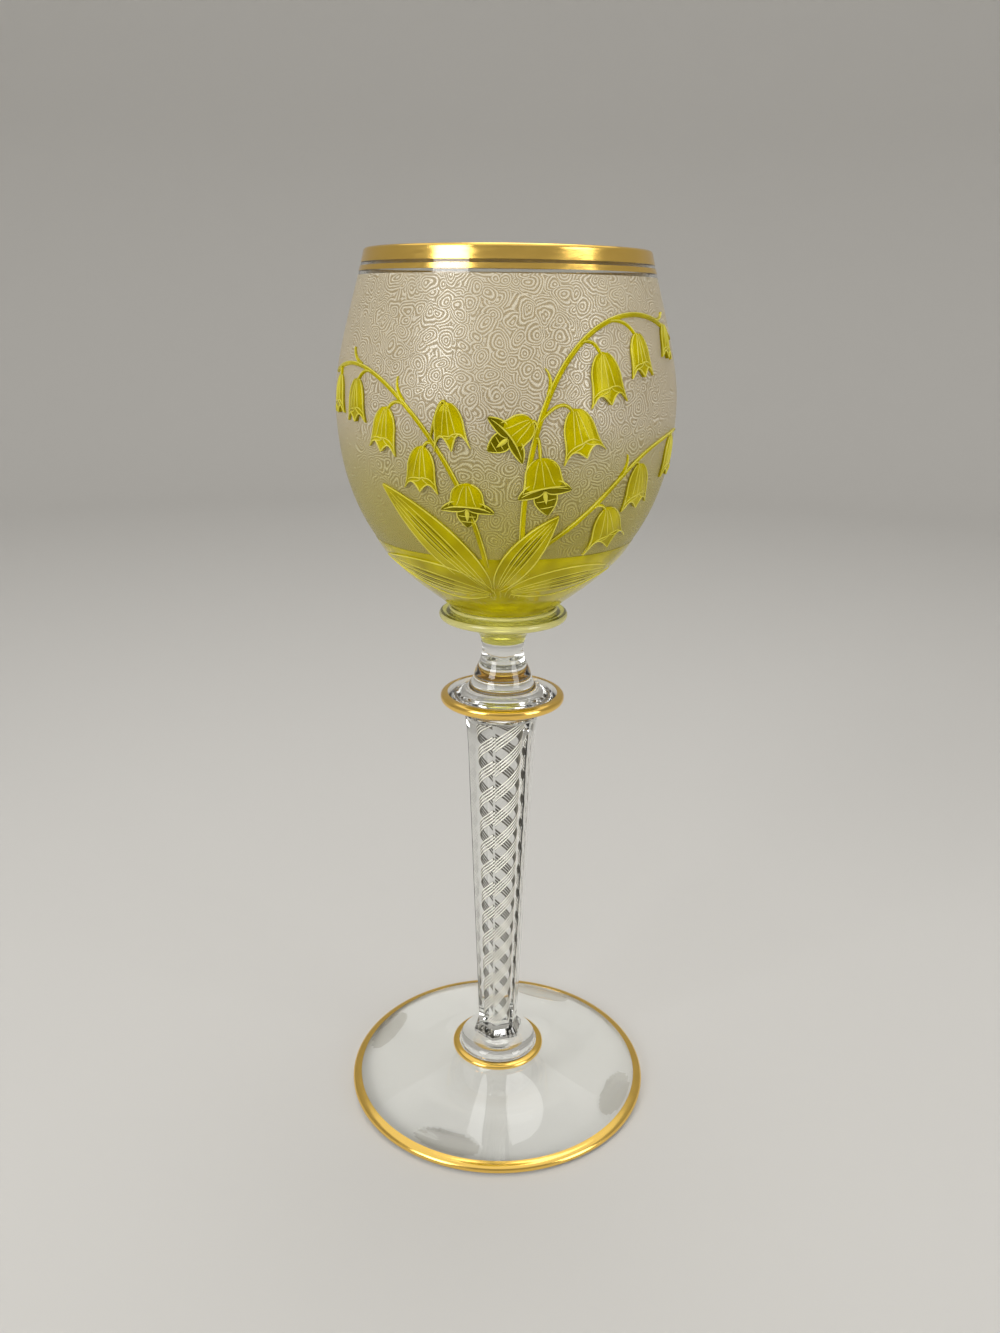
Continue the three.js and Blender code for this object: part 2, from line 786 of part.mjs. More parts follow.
// Heights of the pieces, each standing on the one below

const mereseBase = footRise + seam;
const knopBase = mereseBase + mereseHeight + seam;
const facetBase = knopBase + knopHeight + seam;
const stemBase = facetBase + facetedKnopHeight + seam;
const lowerCollarBase = stemBase + stemLength + seam;
const neckBase = lowerCollarBase + lowerCollarHeight + seam;
const upperCollarBase = neckBase + neckHeight + seam;
const seatRingBase = upperCollarBase + upperCollarHeight + seam;
const bowlBase = seatRingBase + seatRingHeight + seam;
const lowerFlangeTop = lowerCollarBase + lowerCollarUnderside + lowerCollarEdge;

const goblet = new THREE.Group();

goblet.add(
  part('foot_disc', footDisc(), 'clear'),
  part(
    'foot_rim_gilding',
    giltEdge(footRadius, footGiltWidth, footGiltDrop, wideSides),
    'gold',
    footEdge - footGiltDrop,
  ),
  part('foot_merese', merese(), 'clear', mereseBase),
  part(
    'foot_merese_gilding',
    giltEdge(mereseRadius, mereseGiltWidth, mereseGiltDrop),
    'gold',
    mereseBase + mereseHeight - mereseGiltDrop,
  ),
  part('foot_knop', footKnop(), 'clear', knopBase),
  part('faceted_knop', facetedKnop(), 'clear', facetBase),
);

const stem = new THREE.Group();
stem.position.z = stemBase;
stem.add(part('stem_casing', stemCasing(), 'clear'), part('stem_core', stemCore(), 'clear'));
for (let i = 0; i < ribbonCount * ribbonThreads; i += 1) {
  const ribbon = Math.floor(i / ribbonThreads);
  const place = (i % ribbonThreads) - (ribbonThreads - 1) / 2;
  const angle = radians(ribbonTurn) + (2 * Math.PI * ribbon) / ribbonCount + place * threadStagger();
  stem.add(part(`twist_thread_${String(i + 1).padStart(2, '0')}`, twistThread(angle), 'thread'));
}
goblet.add(stem);

goblet.add(
  part('lower_collar', lowerCollar(), 'clear', lowerCollarBase),
  part(
    'lower_collar_gilding',
    giltEdge(lowerCollarRadius, lowerCollarGiltWidth, lowerCollarEdge),
    'gold',
    lowerFlangeTop - lowerCollarEdge,
  ),
  part('neck', neck(), 'clear', neckBase),
  part('upper_collar', upperCollar(), 'green', upperCollarBase),
  part('bowl_seat_ring', seatRing(), 'green', seatRingBase),
);

const bowlGroup = new THREE.Group();
bowlGroup.position.z = bowlBase;
const bandShare = rimBandWidth / skinLength;
const lineTop = 1 - bandShare - rimLineGap / skinLength;
const lineShare = rimLineWidth / skinLength;
bowlGroup.add(
  part('bowl', bowl(), 'etched'),
  part('rim_gilt_band', skinBand(1 - bandShare, 1, seam, seam + gilding, 1), 'gold'),
  part('rim_gilt_line', skinBand(lineTop - lineShare, lineTop, seam, seam + gilding, 1), 'gold'),
  part('cameo_leaf_cup', leafCup(), 'green'),
);
for (const [face, turn] of [['front', 0], ['back', Math.PI]]) {
  for (const [name, layout] of Object.entries(sprays)) {
    bowlGroup.add(part(`cameo_spray_${face}_${name}`, spray(layout).rotateZ(turn), 'green'));
  }
}
goblet.add(bowlGroup);

export default goblet;
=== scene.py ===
# %% [markdown]
# # A cameo glass goblet
# This lesson dresses a tall wine glass. Its bowl is clear crystal under a skin of yellow-green glass.
# Acid took most of the green away and left bellflowers standing in relief, on a ground etched with a
# maze of fine lines. Gold is fired on the lip and on three edges, and white threads twist inside the
# faceted stem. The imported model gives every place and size. It is loaded first and never moved.
# Lengths are in millimetres and angles in degrees, until a function turns them to metres and radians.

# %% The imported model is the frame
from math import comb

import bpy
import numpy as np
from mathutils import Matrix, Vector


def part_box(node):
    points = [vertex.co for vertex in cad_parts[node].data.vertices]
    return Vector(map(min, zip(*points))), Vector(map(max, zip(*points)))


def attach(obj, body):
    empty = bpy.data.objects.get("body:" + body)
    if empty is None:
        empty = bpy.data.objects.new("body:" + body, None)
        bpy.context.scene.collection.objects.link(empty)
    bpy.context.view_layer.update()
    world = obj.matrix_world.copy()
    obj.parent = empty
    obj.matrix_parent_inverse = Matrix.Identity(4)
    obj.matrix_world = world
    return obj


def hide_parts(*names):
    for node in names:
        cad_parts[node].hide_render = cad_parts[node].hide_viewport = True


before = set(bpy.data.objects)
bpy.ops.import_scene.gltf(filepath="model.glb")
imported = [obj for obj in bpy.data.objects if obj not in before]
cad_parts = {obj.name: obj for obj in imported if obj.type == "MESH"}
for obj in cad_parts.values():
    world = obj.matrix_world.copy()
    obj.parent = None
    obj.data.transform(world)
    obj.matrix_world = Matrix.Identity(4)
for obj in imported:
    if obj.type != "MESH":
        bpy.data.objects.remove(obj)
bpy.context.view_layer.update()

MM = 0.001


def extent(node_name):
    """Lowest height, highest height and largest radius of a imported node, in millimetres."""
    low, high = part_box(node_name)
    return low.z / MM, high.z / MM, max(high.x, high.y) / MM


# %% [markdown]
# ## Solids from arrays
# Every piece here is a closed loop of points that is carried along rows: a circle carried up a
# profile is turned glass, a small ring carried along a line is a thread, and a flat loop carried
# down a petal is relief. One function turns such a grid of points into a closed solid. Whole arrays
# are worked out at once, which is much quicker in Python than a loop over points.

# %% A closed solid from rows of points


def quads(rows, columns, ring=False):
    """Faces between the rows of a grid of points. Columns join up, and in a ring the rows do too."""
    row, column = np.meshgrid(np.arange(rows - (not ring)), np.arange(columns), indexing="ij")
    here, above, beside = row * columns, (row + 1) % rows * columns, (column + 1) % columns
    return np.stack([here + column, here + beside, above + beside, above + column], -1).reshape(-1, 4)


def solid(points, ring=False, finish=0):
    """Closed solid from points[row, column, xyz]. Unless it is a ring, each end row is zipped shut, its
    first half to its second. The sum of the volumes between the origin and each face tells whether
    the faces look outwards, and turns them if not."""
    rows, columns, _ = points.shape
    faces = quads(rows, columns, ring)
    if not ring:
        k = np.arange(columns // 2 - 1)
        zip_shut = np.stack([k + 1, k, columns - 1 - k, columns - 2 - k], -1)
        faces = np.concatenate([faces, zip_shut, zip_shut[:, ::-1] + (rows - 1) * columns])
    flat = points.reshape(-1, 3)
    a, b, c, d = (flat[faces[:, corner]] for corner in range(4))
    volume = np.sum(a * np.cross(b, c)) + np.sum(a * np.cross(c, d))
    return flat, faces if volume > 0 else faces[:, ::-1], np.full(len(faces), finish)


def add_object(name, data):
    """A new object in the scene that holds a mesh, a lamp or a camera."""
    made = bpy.data.objects.new(name, data)
    bpy.context.collection.objects.link(made)
    return made


def piece(name, solids, finishes, nodes, crease=40, shadow=True):
    """One object from solids, riding on the goblet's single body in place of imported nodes.
    Edges that turn by more than the crease stay sharp. Clear glass lets nearly all light through, but
    a renderer's shadow rays stop at it, as at a solid, so the clear pieces cast no shadow."""
    starts = np.cumsum([0] + [len(points) for points, _, _ in solids[:-1]])
    mesh = bpy.data.meshes.new(name)
    points = np.concatenate([points for points, _, _ in solids]) * MM
    faces = np.concatenate([faces + start for (_, faces, _), start in zip(solids, starts)])
    mesh.from_pydata(points.tolist(), [], faces.tolist())
    numbers = np.concatenate([number for _, _, number in solids])
    mesh.polygons.foreach_set("material_index", numbers.astype(np.int32))
    mesh.shade_smooth()
    mesh.set_sharp_from_angle(angle=np.radians(crease))
    for finish in finishes:
        mesh.materials.append(finish)
    made = add_object(name, mesh)
    made.visible_shadow = shadow
    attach(made, "root")
    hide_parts(*nodes)
    print(f"{name}: {len(solids)} solids, {2 * len(faces)} triangles, for {', '.join(nodes)}")


# %% Profiles and turned solids


def bezier(*control, steps=10):
    """Bezier curve: each control point weighted by its Bernstein polynomial."""
    t = np.linspace(0, 1, steps + 1)[:, None]
    order = len(control) - 1
    return sum(comb(order, k) * t**k * (1 - t) ** (order - k) * np.array(p) for k, p in enumerate(control))


def arc(centre, radius, start, end, steps=8):
    """Part of a circle in a profile, from one angle to another, in degrees from outwards."""
    turn = np.radians(np.linspace(start, end, steps + 1))
    return np.array(centre) + radius * np.stack([np.cos(turn), np.sin(turn)], -1)


def joined(*stretches):
    """Stretches of a profile one after the other, without the points that repeat."""
    points = np.concatenate([np.atleast_2d(stretch) for stretch in stretches])
    apart = np.hypot(*np.diff(points, axis=0).T) > 1e-4
    return points[np.append(True, apart)]


def normals(profile):
    """Unit directions square to a profile, to the right of the way that it runs."""
    along = np.gradient(profile, axis=0)
    along /= np.hypot(*along.T)[:, None]
    return np.stack([along[:, 1], -along[:, 0]], -1)


def rounded_edge(radius, low, high, under, over):
    """Rim of a disc: two quarter turns that meet at mid height. The lower one starts, and the upper
    one ends, the given lengths inside the rim."""
    middle = (low + high) / 2
    return joined(bezier((radius - under, low), (radius, low), (radius, middle)),
                  bezier((radius, middle), (radius, high), (radius - over, high)))


def placed(radius, turn, height):
    """Points at a turn from the front, in radians: x = r sin turn, y = -r cos turn, z = height."""
    return np.stack([radius * np.sin(turn), -radius * np.cos(turn), height + 0 * turn], -1)


def carried_round(profile, sides):
    """Rows of points from a profile of radius and height that is carried round the axis."""
    return placed(profile[:, :1], np.linspace(0, 2 * np.pi, sides, endpoint=False), profile[:, 1:])


def turned(profile, ring=False, sides=160):
    """A turned solid. A profile that starts or ends on the axis is closed just off it."""
    return solid(carried_round(np.maximum(profile, (AXIS, -np.inf)), sides), ring)


def face_places(made):
    """Radius and height of the middle of each face of a solid."""
    x, y, z = made[0][made[1]].mean(axis=1).T
    return np.hypot(x, y), z


AXIS = 0.02
print(f"turned solids close at {AXIS} mm from the axis")

# %% [markdown]
# ## Finishes
# Each material starts from what the real one is. Clear glass is the Principled shader with nearly
# full transmission, in a pale colour, because light crosses it more than once. Etched and carved
# glass let less light through. Colours are written as they look on a screen, in hex, and one function
# turns them to the linear values that shaders use.

# %% Node and colour helpers


def linear(code):
    """sRGB hex to linear: values above 0.04 go to ((v + 0.055) / 1.055) to the power 2.4."""
    value = np.array([int(code[i:i + 2], 16) for i in (1, 3, 5)]) / 255
    return (*np.where(value > 0.04, ((value + 0.055) / 1.055) ** 2.4, value / 12.92), 1)


def feed(made, inputs):
    """Fills a node's inputs: a value is written, and a socket, or a node's first open output, linked."""
    for name, value in inputs.items():
        if isinstance(value, bpy.types.Node):
            value = next(output for output in value.outputs if output.enabled)
        if isinstance(value, bpy.types.NodeSocket):
            made.id_data.links.new(value, made.inputs[name])
        else:
            made.inputs[name].default_value = value


def node(tree, kind, inputs=(), **settings):
    """Adds one shader node, with its settings first, as they decide which sockets are open."""
    made = tree.nodes.new("ShaderNode" + kind)
    for name, value in settings.items():
        setattr(made, name, value)
    feed(made, dict(inputs))
    return made


def material(name, **sockets):
    """A material named for what it is, with constants on the Principled shader's own sockets."""
    made = bpy.data.materials.new(name)
    made.use_nodes = True
    shader = made.node_tree.nodes["Principled BSDF"]
    feed(shader, {socket.replace("_", " "): value for socket, value in sockets.items()})
    print("material:", name)
    return made, made.node_tree, shader


def per_metre(size_mm):
    """Texture scale whose features have about this size."""
    return 1 / (size_mm * MM)


print(f"#808080 on a screen is {linear('#808080')[0]:.3f} in linear light")

# %% Clear crystal
# Lead crystal, blown, cut and fire-polished: very clear, with a slow ripple left by the tools and a
# trace of dust, which show in the way that highlights bend and soften. A ground and polished cut has
# a shorter ripple. Soda glass, for the green parts, bends light slightly less than lead crystal.
CRYSTAL_IOR, SODA_IOR = 1.54, 1.52
WEAR_MM = 2.5


def polish(tree, shader, ripple_mm=9, ripple_depth=0.02, least=0.015, most=0.06):
    """Slow ripple in the normal and cloudy wear in the roughness, both from noise."""
    place = node(tree, "TexCoord").outputs["Object"]
    ripple = node(tree, "TexNoise", {"Vector": place, "Scale": per_metre(ripple_mm), "Detail": 1.0})
    bump = node(tree, "Bump", {"Height": ripple, "Distance": ripple_depth * MM})
    wear = node(tree, "TexNoise", {"Vector": place, "Scale": per_metre(WEAR_MM), "Detail": 4.0})
    spread = node(tree, "MapRange", {"Value": wear, "From Min": 0.45, "From Max": 0.8,
                                     "To Min": least, "To Max": most})
    feed(shader, {"Normal": bump, "Roughness": spread})


crystal, tree, shader = material("polished_lead_crystal", Base_Color=linear("#FBFCFA"), IOR=CRYSTAL_IOR,
                                 Transmission_Weight=1.0)
polish(tree, shader)

lens_cut, tree, shader = material("polished_lens_cut", Base_Color=linear("#D3D1C9"), IOR=CRYSTAL_IOR,
                                  Transmission_Weight=0.9)
polish(tree, shader, ripple_mm=5, ripple_depth=0.05, least=0.08, most=0.14)

# %% Green glass of the collar and of the carved overlay
# Yellow-green soda glass, clear enough to see through, rich where it is thick. The overlay keeps
# some body, as the acid leaves it slightly hazy. Its raised lines are painted paler, as a highlight.
# The rounded edge of the collar is painted paler too, as a highlight.
green_glass, tree, shader = material("yellow_green_glass", Base_Color=linear("#F5F172"), IOR=SODA_IOR,
                                     Transmission_Weight=0.95)
polish(tree, shader)

edge_painted_highlight, tree, shader = material("glass_edge_painted_highlight", Base_Color=linear("#F3EDA0"),
                                        IOR=SODA_IOR, Transmission_Weight=0.5)
polish(tree, shader, least=0.05, most=0.12)


def overlay_glass(name, bright, dark, weight, cloud_mm=6, **wear):
    """Green overlay whose colour drifts between two greens, as its thickness does. Its mirroring is
    weak and tinted, because the dark room in the photo leaves little to mirror, and this one is pale."""
    made, tree, shader = material(name, IOR=SODA_IOR, Specular_IOR_Level=0.3,
                                  Specular_Tint=linear("#EFE640"), Transmission_Weight=weight)
    place = node(tree, "TexCoord").outputs["Object"]
    depth = node(tree, "TexNoise", {"Vector": place, "Scale": per_metre(cloud_mm), "Detail": 1.5})
    share = node(tree, "MapRange", {"Value": depth, "From Min": 0.35, "From Max": 0.65})
    tint = node(tree, "Mix", {"Factor": share, "A": linear(bright), "B": linear(dark)}, data_type="RGBA")
    feed(shader, {"Base Color": tint})
    polish(tree, shader, **wear)
    return made


overlay = overlay_glass("carved_green_overlay", "#F2E400", "#D0C100", 0.5,
                        ripple_mm=3, ripple_depth=0.06, least=0.06, most=0.18)
# Deeper green for the lobes inside the flowers and the hatching on the leaves: painted shade
overlay_painted_shade = overlay_glass("green_overlay_painted_shade", "#A29600", "#7A7000", 0.5,
                             ripple_mm=2, ripple_depth=0.05, least=0.1, most=0.25)
# Paler overlay for the raised lines and the stamen: a painted highlight
ridge = overlay_glass("overlay_ridge_painted_highlight", "#EDE468", "#E0D64A", 0.15,
                      ripple_mm=2, ripple_depth=0.02, least=0.15, most=0.3)

# %% Etched crystal
# The ground of the bowl is bitten by acid into a maze of fine lines, like a fingerprint. The lines
# stand proud and smooth, and the ground between them is matt, so it scatters light and looks sandy.
# Rings about scattered centres, bent by noise, give the maze. Their distance is measured along the
# glass: the offset from the centre, crossed with the normal, leaves out what is across the wall.
# The real lines are about 0.6 mm apart.
MAZE_PITCH, MAZE_SWIRL = 0.56, 3.3
BEND_MM, BEND_BY = 4.5, 3.4
CLOUD_MM = 14
LINE_HEIGHT = 0.02

etched, tree, shader = material("acid_etched_crystal", IOR=CRYSTAL_IOR, Transmission_Weight=0.4)
place = node(tree, "TexCoord").outputs["Object"]
bend = node(tree, "TexNoise", {"Vector": place, "Scale": per_metre(BEND_MM), "Detail": 1.0})
push = node(tree, "VectorMath", {0: bend.outputs["Color"], 1: (0.5, 0.5, 0.5)}, operation="SUBTRACT")
bent = node(tree, "VectorMath", {0: push, 1: (BEND_BY * MM,) * 3, 2: place}, operation="MULTIPLY_ADD")
swirl = node(tree, "TexVoronoi", {"Vector": bent, "Scale": per_metre(MAZE_SWIRL)}, feature="F1")
offset = node(tree, "VectorMath", {0: bent, 1: swirl.outputs["Position"]}, operation="SUBTRACT")
outwards = node(tree, "NewGeometry").outputs["Normal"]
along = node(tree, "VectorMath", {0: offset, 1: outwards}, operation="CROSS_PRODUCT")
reach = node(tree, "VectorMath", {0: along}, operation="LENGTH")
phase = node(tree, "Math", {0: reach, 1: 2 * np.pi / (MAZE_PITCH * MM)}, operation="MULTIPLY")
wave = node(tree, "Math", {0: phase}, operation="SINE")
line = node(tree, "MapRange", {"Value": wave, "From Min": -0.6, "From Max": 0.9},
            interpolation_type="SMOOTHSTEP")
cloud = node(tree, "TexNoise", {"Vector": place, "Scale": per_metre(CLOUD_MM), "Detail": 2.0})
sand = node(tree, "Mix", {"Factor": cloud, "A": linear("#C8B68F"), "B": linear("#AD9A73")},
            data_type="RGBA")
tint = node(tree, "Mix", {"Factor": line, "A": sand, "B": linear("#FBF1D8")}, data_type="RGBA")
gloss = node(tree, "MapRange", {"Value": line, "To Min": 0.5, "To Max": 0.2})
bump = node(tree, "Bump", {"Height": line, "Distance": LINE_HEIGHT * MM})
feed(shader, {"Roughness": gloss, "Normal": bump})

# %% Film of green over the etched crystal
# A last film of green is left above the cup and thins upwards: its share falls with the square of the
# height between two heights over the bowl's foot.
FILM, FILM_FROM, FILM_TO = 0.88, 15.5, 43

height = node(tree, "SeparateXYZ", {"Vector": place}).outputs["Z"]
bowl_foot, _, _ = extent("bowl")
risen = node(tree, "MapRange", {"Value": height, "From Min": (bowl_foot + FILM_FROM) * MM,
                                "From Max": (bowl_foot + FILM_TO) * MM})
squared = node(tree, "Math", {0: risen, 1: risen}, operation="MULTIPLY")
film = node(tree, "Math", {0: squared, 1: -FILM, 2: FILM}, operation="MULTIPLY_ADD")
filmed = node(tree, "Mix", {"Factor": line, "A": linear("#A09200"), "B": linear("#C9BC22")},
              data_type="RGBA")
greened = node(tree, "Mix", {"Factor": film, "A": tint, "B": filmed}, data_type="RGBA")
feed(shader, {"Base Color": greened})
print(f"film of green from {FILM_FROM} to {FILM_TO} mm over the bowl's foot")

# %% Fired gold
# Liquid gold, brushed on and fired, then burnished with agate: a bright mirror with fine streaks
# round the edge and a slow unevenness from the brush. The noise is stretched flat for the streaks.
STREAK_MM, STREAK_FLAT, STREAK_HEIGHT = 3, 5, 0.008
gold, tree, shader = material("burnished_fired_gold", Base_Color=linear("#FFD46E"), Metallic=1.0)
place = node(tree, "TexCoord").outputs["Object"]
streaks = node(tree, "Mapping", {"Vector": place, "Scale": (1, 1, STREAK_FLAT)})
grain = node(tree, "TexNoise", {"Vector": streaks, "Scale": per_metre(STREAK_MM), "Detail": 5.0})
rub = node(tree, "MapRange", {"Value": grain, "From Min": 0.3, "From Max": 0.75,
                              "To Min": 0.12, "To Max": 0.24})
bump = node(tree, "Bump", {"Height": grain, "Distance": STREAK_HEIGHT * MM})
feed(shader, {"Roughness": rub, "Normal": bump})


def gilding(name, edge, packed, low=0.03, high=0.14):
    """A skin of gold along a stretch of a glass profile, between two lifts off the glass."""
    off = normals(edge)
    ring = turned(joined(edge + high * off, (edge + low * off)[::-1]), ring=True)
    piece(name, [ring], [gold], [packed])


# %% Thread glass
# Opaque white enamel glass, drawn into fine rods. The side that faces outwards is white, and the flanks
# and the side that faces the core are painted grey, as shade that the other threads would cast. The share
# of white comes from the dot product of the normal and the direction away from the axis.
threads_painted_shade, tree, shader = material("enamel_threads_painted_shade", Roughness=0.2)
place = node(tree, "TexCoord").outputs["Object"]
level = node(tree, "VectorMath", {0: place, 1: (1, 1, 0)}, operation="MULTIPLY")
away = node(tree, "VectorMath", {0: level}, operation="NORMALIZE")
outwards = node(tree, "NewGeometry").outputs["Normal"]
facing = node(tree, "VectorMath", {0: away, 1: outwards}, operation="DOT_PRODUCT")
lit_share = node(tree, "MapRange", {"Value": facing, "From Min": 0.35, "From Max": 0.9})
# Painted shade: grey on the flanks and the side that faces the core, white where the thread faces outwards
tint = node(tree, "Mix", {"Factor": lit_share, "A": linear("#6E6A5F"), "B": linear("#FFFBF0")},
            data_type="RGBA")
feed(shader, {"Base Color": tint})

# %% [markdown]
# ## The foot
# A foot is spun from a gather of hot glass: almost flat below, with a hollow so that it stands on its
# rim, and rising on top towards the stem. The merese, a thin disc, and the round knop above it are
# fused on while hot, so here they are one solid with it. Four shallow lens cuts are ground near the rim.
# The numbers in a Bezier curve here and below are its control points, radius and height. They follow
# the outline in the photo: the bowl's began as a fit to radii measured in it, the rest were given one by
# one.

# %% Foot profile
GILT = 0.15
HOLLOW_RADIUS, HOLLOW_DEPTH = 22, 1.0
FOOT_EDGE, FOOT_GILT = 2.0, 2.0
MERESE_UNDER, MERESE_OVER = 1.3, 1.6
KNOP_SHOULDER = 6.4

_, foot_high, _ = extent("foot_disc")
_, _, rim_radius = extent("foot_rim_gilding")
merese_low, merese_high, _ = extent("foot_merese")
_, _, merese_radius = extent("foot_merese_gilding")
knop_low, knop_high, knop_radius = extent("foot_knop")
glass_rim = rim_radius - GILT

hollow = bezier((0, HOLLOW_DEPTH), (HOLLOW_RADIUS * 0.6, HOLLOW_DEPTH), (HOLLOW_RADIUS, 0))
foot_edge = joined(
    bezier((glass_rim - 1.2, 0), (glass_rim, 0), (glass_rim, FOOT_EDGE * 0.5), steps=8),
    bezier((glass_rim, FOOT_EDGE * 0.5), (glass_rim, FOOT_EDGE),
           (glass_rim - FOOT_GILT, FOOT_EDGE + 0.15), steps=10),
)
slope_start = foot_edge[-1]
slope = bezier(slope_start, (slope_start[0] * 0.65, FOOT_EDGE + foot_high * 0.2),
               (merese_radius * 1.35, foot_high * 0.86), (merese_radius - MERESE_OVER, foot_high), steps=60)
merese_edge = rounded_edge(merese_radius - GILT, merese_low, merese_high, MERESE_UNDER - GILT,
                           MERESE_OVER - GILT)
knop_side = joined(
    (knop_radius, merese_high),
    bezier((knop_radius, knop_low), (knop_radius + 0.1, knop_low + 2.2), (KNOP_SHOULDER, knop_high),
           steps=16),
)
foot_profile = joined(hollow, foot_edge, slope, merese_edge, knop_side, (0, knop_high))
print(f"foot: {len(foot_profile)} points in its profile, {2 * glass_rim:.1f} mm across the glass")

# %% Lens cuts, foot and its gilding
CUT_MARGIN = 0.3


def lens_cuts(points, faces, finish, count=4, turn=-22, length=17, width=6.4, depth=0.8):
    """Lowers the top of the foot in ellipses near the rim: depth times (1 - u squared - v squared),
    where u and v are the places along and across the cut as shares of its half length and half width.
    The faces inside an ellipse take the cut finish."""
    middle = glass_rim - FOOT_GILT - CUT_MARGIN - width / 2
    x, y, z = points.T
    step = 360 / count
    off = np.radians((np.degrees(np.arctan2(x, -y)) - turn + step / 2) % step - step / 2)
    radius = np.hypot(x, y)
    u = radius * np.sin(off) / (length / 2)
    v = (radius * np.cos(off) - middle) / (width / 2)
    on_top = (z > 0.95 * FOOT_EDGE) & (radius > merese_radius)
    bite = np.where(on_top, np.clip(1 - u**2 - v**2, 0, None), 0)
    points[:, 2] -= depth * bite
    finish[(bite[faces] > 0).sum(axis=1) >= 3] = 1


foot = turned(foot_profile, sides=480)
lens_cuts(*foot)
piece("clear_foot", [foot], [crystal, lens_cut], ["foot_disc", "foot_merese", "foot_knop"],
      crease=20, shadow=False)
top_of_edge = foot_edge[foot_edge[:, 1] > FOOT_EDGE * 0.35]
gilding("gilt_foot_rim", top_of_edge, "foot_rim_gilding")
gilding("gilt_merese_edge", merese_edge[6:], "foot_merese_gilding")

# %% [markdown]
# ## The stem
# The stem is one thick rod. Its six flat facets are ground on a wheel and run out in arcs under the
# collar. Inside, white threads in three ribbons of four twist round a clear core, and the facets show
# each ribbon more than once. The rod is one solid, and the threads are tubes inside it.

# %% Faceted rod
stem_low, stem_high, _ = extent("stem_casing")
knop6_low, knop6_high, _ = extent("faceted_knop")
FACETS, FACET_TURN, BEVEL = 6, -12, 2.2
STEM_FOOT, STEM_TOP = 4.95, 8.45
STEM_FLARE, FLARE_LENGTH = 0.4, 9
RUN_OUT = 6
KNOP6_RADIUS = 6.2
stem_length = stem_high - stem_low


def corner_radius(height):
    """Radius at the corners: a straight taper with a small flare, squared, at the top."""
    share = np.clip((height - stem_low) / stem_length, 0, 1)
    flare = np.clip(1 - (stem_high - height) / FLARE_LENGTH, 0, 1)
    return STEM_FOOT + (STEM_TOP - STEM_FOOT) * share + STEM_FLARE * flare**2


def faceted(heights, radii, depths):
    """Rows of a six-sided prism whose flats lie cos 30 / cos a from the axis, blended to a circle
    where the depth of the cut is below 1. Each corner has a narrow bevel."""
    half = 180 / FACETS
    across = np.array([-half + BEVEL, -22, -14, -7, 0, 7, 14, 22, half - BEVEL])
    angle = np.radians((np.arange(FACETS)[:, None] * 2 * half + half + across).ravel() + FACET_TURN)
    flat = np.cos(np.radians(half)) / np.cos(np.radians(np.tile(across, FACETS)))
    flat /= np.cos(np.radians(half)) / np.cos(np.radians(half - BEVEL))
    radius = radii[:, None] * (1 - depths[:, None] * (1 - flat))
    return placed(radius, angle, heights[:, None])


knop_rows = np.array([[knop6_low - 0.25, KNOP6_RADIUS - 0.4], [knop6_low + 0.15, KNOP6_RADIUS],
                      [knop6_low + 0.9, KNOP6_RADIUS], [knop6_high - 0.1, STEM_FOOT + 0.1]])
# The facets run out in an arc: the depth of the cut is the root of the height that is left
shaft = np.linspace(stem_low + 0.6, stem_high - RUN_OUT, 30)
run_out = stem_high - RUN_OUT * np.linspace(1, 0, 16)[1:] ** 1.5
heights = np.concatenate([shaft, run_out])
depths = np.sqrt(np.clip((stem_high - heights) / RUN_OUT, 0, 1))
rod_rows = faceted(np.append(knop_rows[:, 0], heights), np.append(knop_rows[:, 1], corner_radius(heights)),
                   np.append(np.ones(len(knop_rows)), depths))
piece("faceted_stem", [solid(rod_rows)], [crystal], ["faceted_knop", "stem_casing", "stem_core"],
      crease=12, shadow=False)

# %% Twisted threads
RIBBONS, RIBBON_THREADS = 3, 4
RIBBON_TURN, THREAD_TURN = 75, 17
PITCH = 19.2
HELIX_FOOT, HELIX_TOP = 2.2, 3.7
THREAD_FOOT, THREAD_TOP = 0.17, 0.25


def thread(start, steps=280, sides=8):
    """A tube round a helix: the turn is the start plus a full turn for each pitch of height."""
    height = np.linspace(stem_low + 0.7, stem_high - 1.2, steps)[:, None]
    share = (height - stem_low) / stem_length
    helix = HELIX_FOOT + (HELIX_TOP - HELIX_FOOT) * share
    turn = np.radians(start) + 2 * np.pi * (height - stem_low) / PITCH
    lean = np.arctan(2 * np.pi * helix / PITCH)
    ring = np.linspace(0, 2 * np.pi, sides, endpoint=False)
    thick = THREAD_FOOT + (THREAD_TOP - THREAD_FOOT) * share
    out, over = thick * np.cos(ring), thick * np.sin(ring)
    x = (helix + out) * np.sin(turn) + over * np.cos(lean) * np.cos(turn)
    y = -(helix + out) * np.cos(turn) + over * np.cos(lean) * np.sin(turn)
    return solid(np.stack([x, y, height - over * np.sin(lean)], -1))


for number in range(RIBBONS * RIBBON_THREADS):
    ribbon, place = divmod(number, RIBBON_THREADS)
    start = RIBBON_TURN + 360 / RIBBONS * ribbon + THREAD_TURN * (place - (RIBBON_THREADS - 1) / 2)
    piece(f"thread_{number + 1:02d}", [thread(start)], [threads_painted_shade], [f"twist_thread_{number + 1:02d}"])

# %% [markdown]
# ## The collars and the neck
# Two collars break the line of the stem. The lower is clear, with a gilt edge, and draws in to a
# slender neck. The upper one is green and was dropped on hot, from the waist of the neck upwards.
# All are turned shapes, drawn as profiles.

